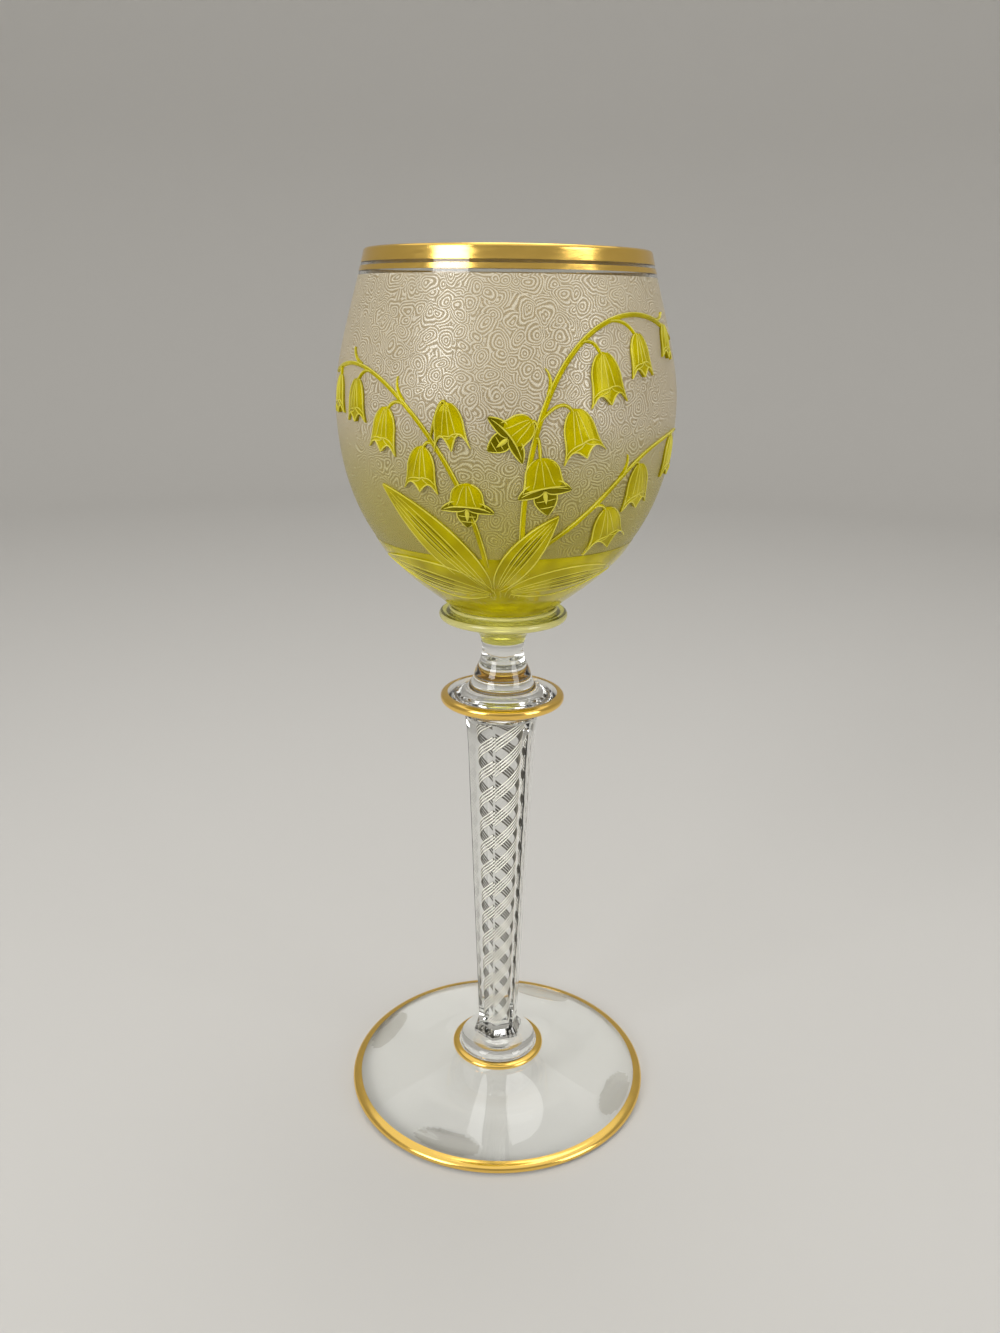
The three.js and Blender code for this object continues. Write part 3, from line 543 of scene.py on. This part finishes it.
# %% Lower collar with its neck
collar_low, _, _ = extent("lower_collar")
_, _, collar_radius = extent("lower_collar_gilding")
neck_low, neck_high, _ = extent("neck")
COLLAR_UNDERSIDE, COLLAR_EDGE = 2.7, 2.0
EDGE_UNDER, EDGE_OVER = 1.2, 1.5
COLLAR_STEP, STEP_HEIGHT = 10.5, 0.35
NECK_FOOT, NECK_WAIST, NECK_TOP = 6.5, 4.75, 4.95
WAIST_HEIGHT = 5.9
glass_edge = collar_radius - GILT
flange_low = collar_low + COLLAR_UNDERSIDE
flange_high = flange_low + COLLAR_EDGE
step, waist = (COLLAR_STEP, flange_high + STEP_HEIGHT), neck_low + WAIST_HEIGHT
stem_top_radius = STEM_TOP + STEM_FLARE

collar_under = joined(
    (0, collar_low), (stem_top_radius - 0.2, collar_low),
    bezier((stem_top_radius, collar_low + 0.2), (stem_top_radius * 1.15, flange_low - 0.4),
           (glass_edge - EDGE_UNDER, flange_low), steps=12),
)
collar_edge = rounded_edge(glass_edge, flange_low, flange_high, EDGE_UNDER, EDGE_OVER)
collar_top = joined(
    bezier(collar_edge[-1], (COLLAR_STEP + 0.6, flange_high), step, steps=6),
    bezier(step, (8.6, flange_high + 0.6), (NECK_FOOT + 0.4, neck_low - 2), (NECK_FOOT, neck_low),
           steps=18),
    bezier((NECK_FOOT, neck_low), (NECK_FOOT - 0.35, neck_low + 1.7), (NECK_WAIST, neck_low + 3.3),
           (NECK_WAIST, waist), steps=18),
    bezier((NECK_WAIST, waist), (NECK_WAIST, (waist + neck_high) / 2), (NECK_TOP, neck_high), steps=6),
)
collar_profile = joined(collar_under, collar_edge, collar_top, (0, neck_high))
piece("clear_collar", [turned(collar_profile)], [crystal], ["lower_collar", "neck"],
      shadow=False)
gilding("gilt_collar_edge", collar_edge[3:], "lower_collar_gilding")

# %% Green collar and the ring that the bowl sits on
green_low, green_high, green_radius = extent("upper_collar")
seat_low, seat_high, seat_radius = extent("bowl_seat_ring")
EDGE_ROUND, SEAT_ROUND = 0.95, 0.35
THROAT_RADIUS, THROAT_HEIGHT = 7.4, 3.1
edge_height = green_high - EDGE_ROUND
green_profile = joined(
    (0, green_low), (NECK_TOP, green_low),
    bezier((NECK_TOP, green_low), (NECK_TOP * 1.1, green_low + THROAT_HEIGHT * 0.75),
           (THROAT_RADIUS, green_low + THROAT_HEIGHT), steps=12),
    bezier((THROAT_RADIUS, green_low + THROAT_HEIGHT),
           (THROAT_RADIUS * 1.2, edge_height - EDGE_ROUND - 0.3),
           (green_radius - EDGE_ROUND, edge_height - EDGE_ROUND), steps=12),
    arc((green_radius - EDGE_ROUND, edge_height), EDGE_ROUND, -90, 90, steps=14),
    bezier((green_radius - EDGE_ROUND, green_high), (seat_radius + 0.4, green_high - 0.2),
           (seat_radius, seat_low), steps=6),
    arc((seat_radius - SEAT_ROUND, (seat_low + seat_high) / 2), SEAT_ROUND, -60, 90, steps=8),
    (0, seat_high),
)
green_solid = turned(green_profile)
# The seat ring and the outermost part of the rim take the paler finish, a painted highlight
out, up = face_places(green_solid)
on_seat = (up > seat_low + 0.1) & (out > seat_radius - 0.6)
green_solid[2][on_seat | (out > green_radius - 0.3)] = 1
piece("green_collar", [green_solid], [green_glass, edge_painted_highlight], ["upper_collar", "bowl_seat_ring"],
      shadow=False)

# %% [markdown]
# ## The bowl
# The bowl is blown: an egg that draws in to the lip. Its outer curve is two Bezier stretches, measured
# by length along the glass, so that a place on it is an angle from the front and a share of that
# length. The flowers, the gilding and the etched ground all use this chart.

# %% Skin of the bowl
bowl_low, bowl_high, _ = extent("bowl")
BELLY_RADIUS, BELLY_HEIGHT = 35.85, 44.4
SEAT, RIM, LIP_WALL = 11.2, 29.3, 1.3
SEAT_PULL, BELLY_BELOW, BELLY_ABOVE, RIM_PULL = 6.2, 30, 8.7, 7.5
SEAT_SLANT, RIM_SLANT = 1.07, 0.25
rim_height = bowl_high - bowl_low - LIP_WALL / 2
belly = BELLY_RADIUS, BELLY_HEIGHT
skin_curve = joined(
    bezier((SEAT, 0), (SEAT + SEAT_PULL * SEAT_SLANT, SEAT_PULL),
           (BELLY_RADIUS, BELLY_HEIGHT - BELLY_BELOW), belly, steps=300),
    bezier(belly, (BELLY_RADIUS, BELLY_HEIGHT + BELLY_ABOVE),
           (RIM + RIM_PULL * RIM_SLANT, rim_height - RIM_PULL), (RIM, rim_height), steps=200),
)
skin_curve[:, 1] += bowl_low
skin_steps = np.append(0, np.cumsum(np.hypot(*np.diff(skin_curve, axis=0).T)))
SKIN = skin_steps[-1]
skin_normal = normals(skin_curve)


def skin(share, lift=0.0):
    """Radius and height on the bowl at a share of its length, lifted along the normal."""
    across, up, nr, nz = (np.interp(share, skin_steps / SKIN, column)
                          for column in (*skin_curve.T, *skin_normal.T))
    return across + lift * nr, up + lift * nz


def on_bowl(angle, share, lift):
    """Points in space for places in the chart: angle from the front, and share."""
    radius, height = skin(share, lift)
    return placed(radius, np.radians(angle), height)


print(f"skin of the bowl: {SKIN:.1f} mm from seat to lip, {skin_curve[:, 0].max():.2f} mm at its widest")

# %% Glass of the bowl
# The wall thickens from the lip to the seat with the square of the way. The skin is etched from just
# under the edge of the green cup to a clear border at the lip, which the gilding lies on.
SEAT_WALL, FLOOR = 2.4, 3.2
CUP_SHARE = 0.285
CLEAR_BORDER = 4.6
outer_share = np.linspace(0, 1, 110)
inner_share = np.linspace(1, 0.07, 90)
wall = LIP_WALL + (SEAT_WALL - LIP_WALL) * (1 - inner_share) ** 2
outer = np.stack(skin(outer_share), -1)
inner = np.stack(skin(inner_share, -wall), -1)
lip = arc((RIM - LIP_WALL / 2, bowl_low + rim_height), LIP_WALL / 2, 0, 180, steps=12)
well = bezier(inner[-1], (inner[-1][0] * 0.5, bowl_low + FLOOR), (0, bowl_low + FLOOR), steps=14)
bowl_profile = joined((0, bowl_low), outer, lip, inner, well)
bowl_solid = turned(bowl_profile, sides=200)
out, up = face_places(bowl_solid)
outside = out > np.interp(up, skin_curve[:, 1], skin_curve[:, 0]) - 0.25
etched_low, etched_high = skin(CUP_SHARE - 0.01)[1], skin(1 - CLEAR_BORDER / SKIN)[1]
bowl_solid[2][outside & (up > etched_low) & (up < etched_high)] = 1
piece("etched_bowl", [bowl_solid], [crystal, etched], ["bowl"], crease=60)

# %% Gilt lines at the lip
BAND, LINE_GAP, LINE = 2.1, 0.7, 1.0
GOLD_LOW, GOLD_HIGH = 0.02, 0.09
band_share = np.linspace(1 - BAND / SKIN, 1, 12)
band_edge = joined(np.stack(skin(band_share), -1), lip[:9])
line_share = np.linspace(1 - (BAND + LINE_GAP + LINE) / SKIN, 1 - (BAND + LINE_GAP) / SKIN, 8)
line_edge = np.stack(skin(line_share), -1)
gilding("gilt_lip", band_edge, "rim_gilt_band", GOLD_LOW, GOLD_HIGH)
gilding("gilt_line", line_edge, "rim_gilt_line", GOLD_LOW, GOLD_HIGH)

# %% [markdown]
# ## The carved overlay
# The flowers were left standing when acid ate the green skin away round them, and then touched up on
# a wheel. Each is a thin slab on the bowl, domed in the middle, with raised lines that catch the light.
# A shape is a function of two parameters, u across and t along, which gives a place in the chart and
# a height. A slab fills it, and a line follows it at chosen values of u and t.

# %% Slabs and raised lines on the bowl
SKIM = 0.03
RIDGE_ACROSS = np.array([-1, -0.8, -0.3, 0.3, 0.8, 1])
RIDGE_LIFT = np.array([-0.12, 0.55, 1, 1, 0.55, -0.12])


def heading(angle, share):
    """Way right and way up that a chart path goes at each place, as a unit direction in millimetres,
    and the bowl's radius there."""
    radius = skin(share)[0]
    right, up = np.gradient(np.radians(angle)) * radius, np.gradient(share) * SKIN
    length = np.hypot(right, up)
    return right / length, up / length, radius


def slab(shape, rows=20, columns=13, finish=0):
    """A closed slab under a shape: its upper points, then its lower points in the other direction."""
    t, u = np.meshgrid(np.linspace(0, 1, rows), np.linspace(-1, 1, columns), indexing="ij")
    angle, share, height = shape(u, t)
    upper = on_bowl(angle, share, SKIM + height)
    lower = on_bowl(angle, share, SKIM + 0 * height)
    return solid(np.concatenate([upper, lower[:, ::-1]], axis=1), finish=finish)


# Raised lines take finish 1 unless given another: the paler overlay, a painted highlight
def raised(angle, share, height, width, rise=0.16, finish=1, taper=0.55):
    """A raised line through chart places: a low rounded ridge, whose half width narrows to both ends
    by the taper times the fourth power of the distance from the middle."""
    right, up, radius = heading(angle, share)
    along = np.linspace(-1, 1, len(share))
    half = np.asarray(width) / 2 * (1 - taper * along**4)
    across = RIDGE_ACROSS * half[:, None]
    angles = angle[:, None] + np.degrees(-up[:, None] * across / radius[:, None])
    shares = share[:, None] + right[:, None] * across / SKIN
    return solid(on_bowl(angles, shares, SKIM + height[:, None] + RIDGE_LIFT * rise), finish=finish)


def along_shape(shape, u, t, width=0.28, steps=16, **style):
    """A raised line on a shape, where u and t are its end values or lists that it passes through."""
    run = np.linspace(0, 1, steps)
    u, t = (np.interp(run, np.linspace(0, 1, len(v)), v) for v in (u, t))
    angle, share, height = shape(u, t)
    return raised(angle, share, height, width, **style)


def edges(shape, t, at=0.98, **style):
    """Raised lines along both long edges of a shape."""
    return [along_shape(shape, [side, side], t, **style) for side in (-at, at)]


print(f"1 degree is {np.radians(BELLY_RADIUS):.2f} mm at the belly, a share of 0.01 {SKIN / 100:.2f} mm")

# %% Outlines of flowers
BELL_LENGTH, BELL_WIDTH = 9.2, 7.6
EDGE, DOME = 0.32, 0.4


def hung(top, tilt, across, down):
    """Chart places for a flower that hangs from its top: down its own axis and across it, in mm."""
    turn = np.radians(tilt)
    right = across * np.cos(turn) + down * np.sin(turn)
    up = across * np.sin(turn) - down * np.cos(turn)
    share = top[1] + up / SKIN
    return top[0] + np.degrees(right / skin(share)[0]), share


def bell_shape(top, tilt, length, width, notch, flare=0.22, lobes=True):
    """A bell: its half width rises as the root of a sine to a waist and flares with t to the fourth.
    The mouth runs back between three lobes by the notch times the sine of pi u, or else in one arc."""

    def shape(u, t):
        swell = np.sqrt(np.sin(np.pi / 2 * np.clip(t / 0.5, 0, 1)))
        half = width / 2 * (0.78 * swell + flare * t**4)
        back = notch * np.abs(np.sin(np.pi * u)) if lobes else 0.08 * (1 - u**2)
        angle, share = hung(top, tilt, u * half, t * length - back * length * t**5)
        return angle, share, EDGE + DOME * np.sqrt(np.clip(1 - u**2, 0, 1)) * half / (width / 2)

    return shape


def petal_shape(top, tilt, start, end, sag, width, lift=0.0):
    """A petal in a flower's own millimetres: a line from start to end that sags in the middle, with
    a half width that goes as the sine of pi t to the power 0.7."""
    start, end = np.array(start, float), np.array(end, float)
    run = (end - start) / np.hypot(*(end - start))

    def shape(u, t):
        half = width / 2 * np.sin(np.pi * np.clip(t, 0.004, 0.996) ** 0.7) ** 0.75
        bow = sag * 4 * t * (1 - t)
        across = start[0] + (end - start)[0] * t - run[1] * (u * half + bow)
        down = start[1] + (end - start)[1] * t + run[0] * (u * half + bow)
        angle, share = hung(top, tilt, across, down)
        return angle, share, lift + EDGE + 0.6 * DOME * (1 - u**2)

    return shape


print(f"a bell of size 1 is {BELL_LENGTH} mm long, on a slab {EDGE} mm thick that swells by {DOME} mm")

# %% Bellflowers, closed and open
FINE, FINEST = {"width": 0.2, "rise": 0.1}, {"width": 0.18, "rise": 0.1}


def closed_bell(top, size, tilt, notch=0.2, flare=0.22):
    """A bell seen from the side, with ribs from its crown, a fold at the mouth and pointed lobes."""
    shape = bell_shape(top, tilt, BELL_LENGTH * size, BELL_WIDTH * size**1.5, notch, flare)
    return [
        slab(shape), *edges(shape, [0.03, 1], steps=20),
        along_shape(shape, [-0.98, 0.98], [0.99, 0.99], steps=33),
        *(along_shape(shape, [rib * 0.5, rib], [0.06, 0.72], **FINE) for rib in (-0.5, -0.05, 0.4)),
        along_shape(shape, [-0.95, -0.5, 0.1, 0.6, 0.95], [0.82, 0.76, 0.68, 0.72, 0.80], width=0.24),
        *(along_shape(shape, [0.1, tip], [0.68, 0.93], steps=8, **FINE) for tip in (-0.5, 0.5)),
    ]


def open_bell(top, size, tilt, spread=1.0, long=1.0):
    """A bell that shows its mouth: a dome, two side lobes curled out, a front lobe and the stamen."""
    length, width = BELL_LENGTH * size * long, BELL_WIDTH * size**1.5
    mouth = 0.58 * length
    dome = bell_shape(top, tilt, mouth * 1.06, width * 0.95, 0, lobes=False)
    front = petal_shape(top, tilt, (0, mouth * 0.98), (0.01 * tilt, length * 1.12), 0, width * 0.52,
                        lift=-0.1)
    # The lobes take finish 2, the painted shade, and the stamen finish 1, the painted highlight
    solids = [
        slab(dome), *(along_shape(dome, [rib * 0.5, rib], [0.1, 0.9], **FINE) for rib in (-0.55, 0, 0.5)),
        *edges(dome, [0.03, 1], steps=20), along_shape(dome, [-0.98, 0.98], [0.99, 0.99], steps=20),
        slab(front, finish=2), *edges(front, [0.02, 0.98], at=0.96),
        *(along_shape(front, [-0.8, 0.8], [t, t], steps=6, **FINEST) for t in (0.45, 0.7)),
    ]
    for way in (-1, 1):
        lobe = petal_shape(top, tilt, (0.1 * way, mouth), (way * width * 0.74 * spread, mouth * 1.2),
                           -way * 0.35, length * 0.27, lift=0.05)
        solids += [slab(lobe, finish=2), *edges(lobe, [0.02, 0.98], at=0.96),
                   along_shape(lobe, [0, 0], [0.15, 0.85], **FINEST)]
    stamen = petal_shape(top, tilt, (0, mouth * 1.08), (0, mouth * 1.08 + 2.6), 0, 0.9, lift=0.12)
    return [*solids, slab(stamen, rows=10, columns=7, finish=1)]


print(f"lines {FINE['width']} mm wide and {FINE['rise']} mm high for the ribs")

# %% Stalks, pedicels and bracts
STALK_WIDTH, PEDICEL_WIDTH, BRACT_LENGTH = 1.2, 0.7, 5.5


def stalk(path, outside):
    """The main stalk: a rounded band along a chart path that narrows to 0.6 of its width, with a pale
    line along the side towards the light, a painted highlight (1 for its left, -1 for its right)."""
    angle, share = path.T
    level = 0 * share
    narrowing = 1 - 0.4 * np.linspace(0, 1, len(path))
    right, up, radius = heading(angle, share)
    shift = 0.4 * outside * STALK_WIDTH * narrowing
    edge_angle = angle + np.degrees(-up * shift / radius)
    edge_share = share + right * shift / SKIN
    return [raised(angle, share, level + 0.02, STALK_WIDTH * narrowing, rise=0.4, finish=0, taper=0.1),
            raised(edge_angle, edge_share, level + 0.26, 0.26, rise=0.16)]


def pedicel(start, top, arch):
    """A thin arching stalk from the main one to the crown of a flower."""
    bend = ((start[0] + 2 * top[0]) / 3, max(start[1], top[1]) + arch * 1.5 / SKIN)
    angle, share = bezier(start, bend, (top[0], top[1] - 0.8 / SKIN), steps=16).T
    return [raised(angle, share, 0 * share + 0.02, PEDICEL_WIDTH, rise=0.38, finish=0, taper=0.2),
            raised(angle, share, 0 * share + 0.34, 0.24, rise=0.14)]


def bract(path, at, side):
    """A small leaf that springs from the stalk and curls out: its bend grows with the square of the
    way. The side is 1 for its right and -1 for its left."""
    k = int(at * (len(path) - 1))
    angle, share = path[k]
    ahead = path[k + 1] - path[k - 1]
    along = np.array([np.radians(ahead[0]) * skin(share)[0], ahead[1] * SKIN])
    along /= np.hypot(*along)
    way = np.linspace(0, 1, 12)
    lean = np.radians(side * (12 + 55 * way**2))
    step = BRACT_LENGTH / len(way) * np.stack([along[0] * np.cos(lean) + along[1] * np.sin(lean),
                                               along[1] * np.cos(lean) - along[0] * np.sin(lean)])
    right, up = np.cumsum(step, axis=1)
    shares = share + up / SKIN
    angles = angle + np.degrees(right / skin(shares)[0])
    return [raised(angles, shares, 0 * way + 0.02, 1.2 * (1 - 0.85 * way), rise=0.36, finish=0, taper=0),
            raised(angles, shares, 0 * way + 0.3, 0.24, rise=0.14)]


print(f"stalks {STALK_WIDTH} mm wide, pedicels {PEDICEL_WIDTH} mm, bracts {BRACT_LENGTH} mm long")

# %% Layout of the sprays
# Chart places of the front, as on the imported nodes, read off the photo. A stalk's four points come from
# a curve fitted to places read along it. Each flower leaves the stalk at a share of it, on a
# pedicel drawn towards a point 1.5 times the arch above its higher end. With a spread, it is open.
# The outside of a spray is the side of its stalk that carries the painted highlight, towards the light
SPRAYS = {
    "left": {
        "stalk": [(-8, 0.295), (-13.8, 0.609), (-44.5, 0.811), (-73, 0.716)],
        "root": (-7.4, 0.26),
        "outside": -1,
        "bells": [
            dict(at=0.95, arch=0.3, top=(-67, 0.712), size=0.81, tilt=2),
            dict(at=0.69, arch=0.8, top=(-53.5, 0.709), size=0.90, tilt=0),
            dict(at=0.5, arch=0.8, top=(-38.5, 0.652), size=0.95, tilt=-12),
            dict(at=0.37, arch=1.7, top=(-17.8, 0.669), size=0.97, tilt=7, notch=0.35),
            dict(at=0.35, arch=0.7, top=(-25.8, 0.572), size=0.97, tilt=-7),
            dict(at=0.19, arch=0.3, top=(-12, 0.492), size=1.05, tilt=-2, spread=0.86, long=0.85),
        ],
        "bracts": [(0.5, 1), (0.76, 1)],
    },
    "right": {
        "stalk": [(6.0, 0.383), (5.3, 0.938), (53, 0.895), (72.5, 0.801)],
        "root": (6.2, 0.345),
        "outside": 1,
        "bells": [
            dict(at=0.96, arch=0.3, top=(66, 0.838), size=0.74, tilt=-8),
            dict(at=0.54, arch=0.5, top=(46, 0.818), size=0.90, tilt=4),
            dict(at=0.4, arch=0.8, top=(30.2, 0.778), size=1.06, tilt=8),
            dict(at=0.19, arch=1.7, top=(20, 0.658), size=1.04, tilt=18, flare=0.35),
            dict(at=0.175, arch=0.3, top=(7.5, 0.635), size=0.96, tilt=-52, spread=1.0),
            dict(at=0.155, arch=0.6, top=(10.4, 0.552), size=1.12, tilt=10, spread=0.78),
        ],
        "bracts": [(0.245, -1), (0.8, -1)],
    },
    "low": {
        "stalk": [(19.8, 0.356), (41.8, 0.487), (40.3, 0.568), (74, 0.586)],
        "root": (14.5, 0.325),
        "outside": 1,
        "bells": [
            dict(at=0.96, arch=0.3, top=(67.5, 0.578), size=0.88, tilt=6),
            dict(at=0.55, arch=0.6, top=(47.2, 0.526), size=1.02, tilt=10),
            dict(at=0.2, arch=0.5, top=(36, 0.425), size=1.08, tilt=20, flare=0.5, notch=0.3),
        ],
        "bracts": [(0.4, -1)],
    },
}
STALK_STEPS = 60
print("flowers on each spray:", {name: len(layout["bells"]) for name, layout in SPRAYS.items()})

# %% The sprays, in front and behind


def spray(layout):
    """All the solids of one spray. The stalk runs on below its curve, to its root in the leaves."""
    path = bezier(*layout["stalk"], steps=STALK_STEPS)
    below = np.linspace(layout["root"], path[0], 7)[:-1]
    solids = stalk(np.concatenate([below, path]), layout["outside"])
    for flower in layout["bells"]:
        form = {key: value for key, value in flower.items() if key not in ("at", "arch")}
        solids += pedicel(path[int(flower["at"] * STALK_STEPS)], flower["top"], flower["arch"])
        solids += open_bell(**form) if "spread" in form else closed_bell(**form)
    for at, side in layout["bracts"]:
        solids += bract(path, at, side)
    return solids


def half_turn(solids):
    """The same solids on the far side: x and y change sign."""
    return [(points * (-1, -1, 1), faces, numbers) for points, faces, numbers in solids]


# Finish 1 is the painted highlight of the raised lines, finish 2 the painted shade of lobes and hatching
OVERLAY = [overlay, ridge, overlay_painted_shade]
for name, layout in SPRAYS.items():
    front = spray(layout)
    for face, solids in (("front", front), ("back", half_turn(front))):
        piece(f"spray_{face}_{name}", solids, OVERLAY, [f"cameo_spray_{face}_{name}"],
              crease=50)

# %% Leaves
LEAF_WIDTH = 8.8
CUP_THICK, CUP_TAPER = 0.36, 0.05
LEAVES = [
    ([(-8, 0.17), (-26, 0.369), (-43.4, 0.472)], 0.95),
    ([(-7, 0.15), (-32.5, 0.20), (-68, 0.245)], 1.32),
    ([(-3, 0.17), (8.5, 0.329), (18, 0.412)], 0.74),
    ([(3, 0.16), (32.5, 0.215), (64, 0.21)], 1.1),
]


def leaf_shape(control, size, lift):
    """A blade along a chart curve of three control points: its half width goes as a sine that starts
    part open."""
    one, two, three = (np.array(p, float) for p in control)

    def shape(u, t):
        angle, share = ((1 - t) ** 2 * one[k] + 2 * t * (1 - t) * two[k] + t**2 * three[k] for k in (0, 1))
        step_angle, step_share = (2 * (1 - t) * (two[k] - one[k]) + 2 * t * (three[k] - two[k])
                                  for k in (0, 1))
        right, up = np.radians(step_angle) * skin(share)[0], step_share * SKIN
        length = np.hypot(right, up)
        half = LEAF_WIDTH / 2 * size * np.sin(np.pi * (0.05 + 0.95 * np.clip(t, 0, 0.997) ** 0.85)) ** 0.9
        share = share - right / length * u * half / SKIN
        angle = angle + np.degrees(up / length * u * half / skin(share)[0])
        return angle, share, lift + CUP_THICK + 0.25 * (1 - u**2) * half / (LEAF_WIDTH / 2)

    return shape


def leaf(control, size, order):
    """A leaf with pale edges and veins, a painted highlight, and a hatching of deeper green lines in
    its middle, painted shade.
    """
    shape = leaf_shape(control, size, 0.03 * (1 + order))
    solids = [slab(shape, rows=28, columns=11)]
    # The hatching lines take finish 2, the painted shade
    solids += [along_shape(shape, [cut * 0.9, cut], [0.34, 0.74 - 0.2 * abs(cut)], width=0.26, steps=20,
                           rise=0.06, finish=2) for cut in (-0.46, -0.2, 0.0, 0.3)]
    solids += edges(shape, [0, 0.995], at=0.97, width=0.3, steps=28)
    return solids + [along_shape(shape, [vein * 0.6, vein], [0.02, 0.93 - 0.15 * abs(vein)], width=0.17,
                                 steps=24, rise=0.08) for vein in (-0.62, -0.3, 0.1, 0.5)]


print(f"{len(LEAVES)} leaves on each face")

# %% Green cup at the root


def fan(turn, spread=52, count=9):
    """Fine lines that fan out over the cup from its foot: the angle grows with the square of the way,
    and the outer lines are shorter."""
    way = np.linspace(0, 1, 16)
    lines = []
    for end in np.linspace(-spread, spread, count):
        share = 0.13 + (0.12 - 0.0012 * abs(end)) * way
        angle = turn - 2 + end * (0.2 + 0.8 * way**2)
        lines.append(raised(angle, share, 0 * way + CUP_THICK, 0.14, rise=0.08))
    return lines


# The cup thins out at its edge: its thickness is the root of the share that is left
cup_share = np.linspace(0.004, CUP_SHARE, 60)
cup_thick = CUP_THICK * np.sqrt(np.clip((CUP_SHARE - cup_share) / CUP_TAPER, 0.01, 1))
cup = joined(np.stack(skin(cup_share, SKIM + cup_thick), -1), np.stack(skin(cup_share[::-1], SKIM), -1))
root = [turned(cup, ring=True, sides=180)] + fan(0) + fan(180)
for order, (control, size) in enumerate(LEAVES):
    front = leaf(control, size, order % 3)
    root += front + half_turn(front)
piece("green_leaf_cup", root, OVERLAY, ["cameo_leaf_cup"], crease=50)

# %% [markdown]
# ## Stage, light and camera
# A pale floor sweeps up into a round backdrop, so that no edge shows from any side. The lamps are
# large and soft. The camera stands where the picture was taken from: a little below the lip, looking
# down by 18 degrees, with a slight roll.

# %% Floor and backdrop
FLOOR_RADIUS, SWEEP, WALL, FLOOR_SIDES = 900, 400, 1300, 96
UNDER_FOOT = 0.05
sweep_profile = joined(
    (0, -UNDER_FOOT), (FLOOR_RADIUS, -UNDER_FOOT),
    arc((FLOOR_RADIUS, SWEEP), SWEEP + UNDER_FOOT, -90, 0, steps=24), (FLOOR_RADIUS + SWEEP, WALL),
)
points = carried_round(sweep_profile, FLOOR_SIDES).reshape(-1, 3) * MM
faces = quads(len(sweep_profile), FLOOR_SIDES)
floor_mesh = bpy.data.meshes.new("floor")
floor_mesh.from_pydata(points.tolist(), [], faces.tolist())
floor_mesh.shade_smooth()
add_object("floor", floor_mesh)
paper, tree, shader = material("matt_backdrop_paper", Base_Color=linear("#CBC9C5"), Roughness=0.9)
floor_mesh.materials.append(paper)
print(f"floor {2 * FLOOR_RADIUS / 1000} m across, walls {WALL / 1000} m high")

# %% World and lamps
world = bpy.data.worlds.new("soft_room")
world.use_nodes = True
bpy.context.scene.world = world
feed(world.node_tree.nodes["Background"], {"Color": linear("#F4F3F1"), "Strength": 0.96})
LAMP_SPREAD = 120


def lamp(name, place, aim, size, power):
    """A soft area lamp at a place, turned to face a point, both in millimetres. A grid keeps its light
    within its spread, so that the pale floor under the lamp doesn't burn out in views from behind."""
    data = bpy.data.lights.new(name, "AREA")
    data.shape, data.size, data.size_y, data.energy = "RECTANGLE", size[0] * MM, size[1] * MM, power
    data.spread = np.radians(LAMP_SPREAD)
    back = np.array(place) - aim
    back = back / np.linalg.norm(back)
    side = np.cross((0, 0, 1), back)
    side /= np.linalg.norm(side)
    turn = Matrix(np.stack([side, np.cross(back, side), back], -1).tolist()).to_4x4()
    add_object(name, data).matrix_world = Matrix.Translation([value * MM for value in place]) @ turn
    print(f"lamp {name}: {power} W")


MIDDLE = np.array((0, 0, 110))
lamp("key", (-540, -520, 460), MIDDLE, (360, 460), 1.52)
lamp("fill", (640, -420, 300), MIDDLE, (320, 500), 0.97)
lamp("top", (60, 200, 820), MIDDLE, (400, 400), 0.46)

# %% Camera
# The picture is 1000 by 1333 points. The focal length comes from the ellipses of the rim, the collars
# and the foot, in points, and the sensor is along the longer side.
PICTURE_HEIGHT = 1333
FOCAL_POINTS = 1087.4
CAMERA = (-0.6, -237.2, 189.2)
PITCH_DOWN, ROLL = 18.32, 0.7
SENSOR = 36
camera_data = bpy.data.cameras.new("camera")
camera_data.sensor_width = SENSOR
camera_data.lens = FOCAL_POINTS * SENSOR / PICTURE_HEIGHT
camera = add_object("camera", camera_data)
camera.matrix_world = (Matrix.Translation([value * MM for value in CAMERA])
                       @ Matrix.Rotation(np.radians(90 - PITCH_DOWN), 4, "X")
                       @ Matrix.Rotation(np.radians(ROLL), 4, "Z"))
bpy.context.scene.camera = camera
bpy.context.scene.view_settings.view_transform = "Standard"
print(f"camera: {camera_data.lens:.1f} mm lens, {abs(CAMERA[1]):.0f} mm in front of the axis")
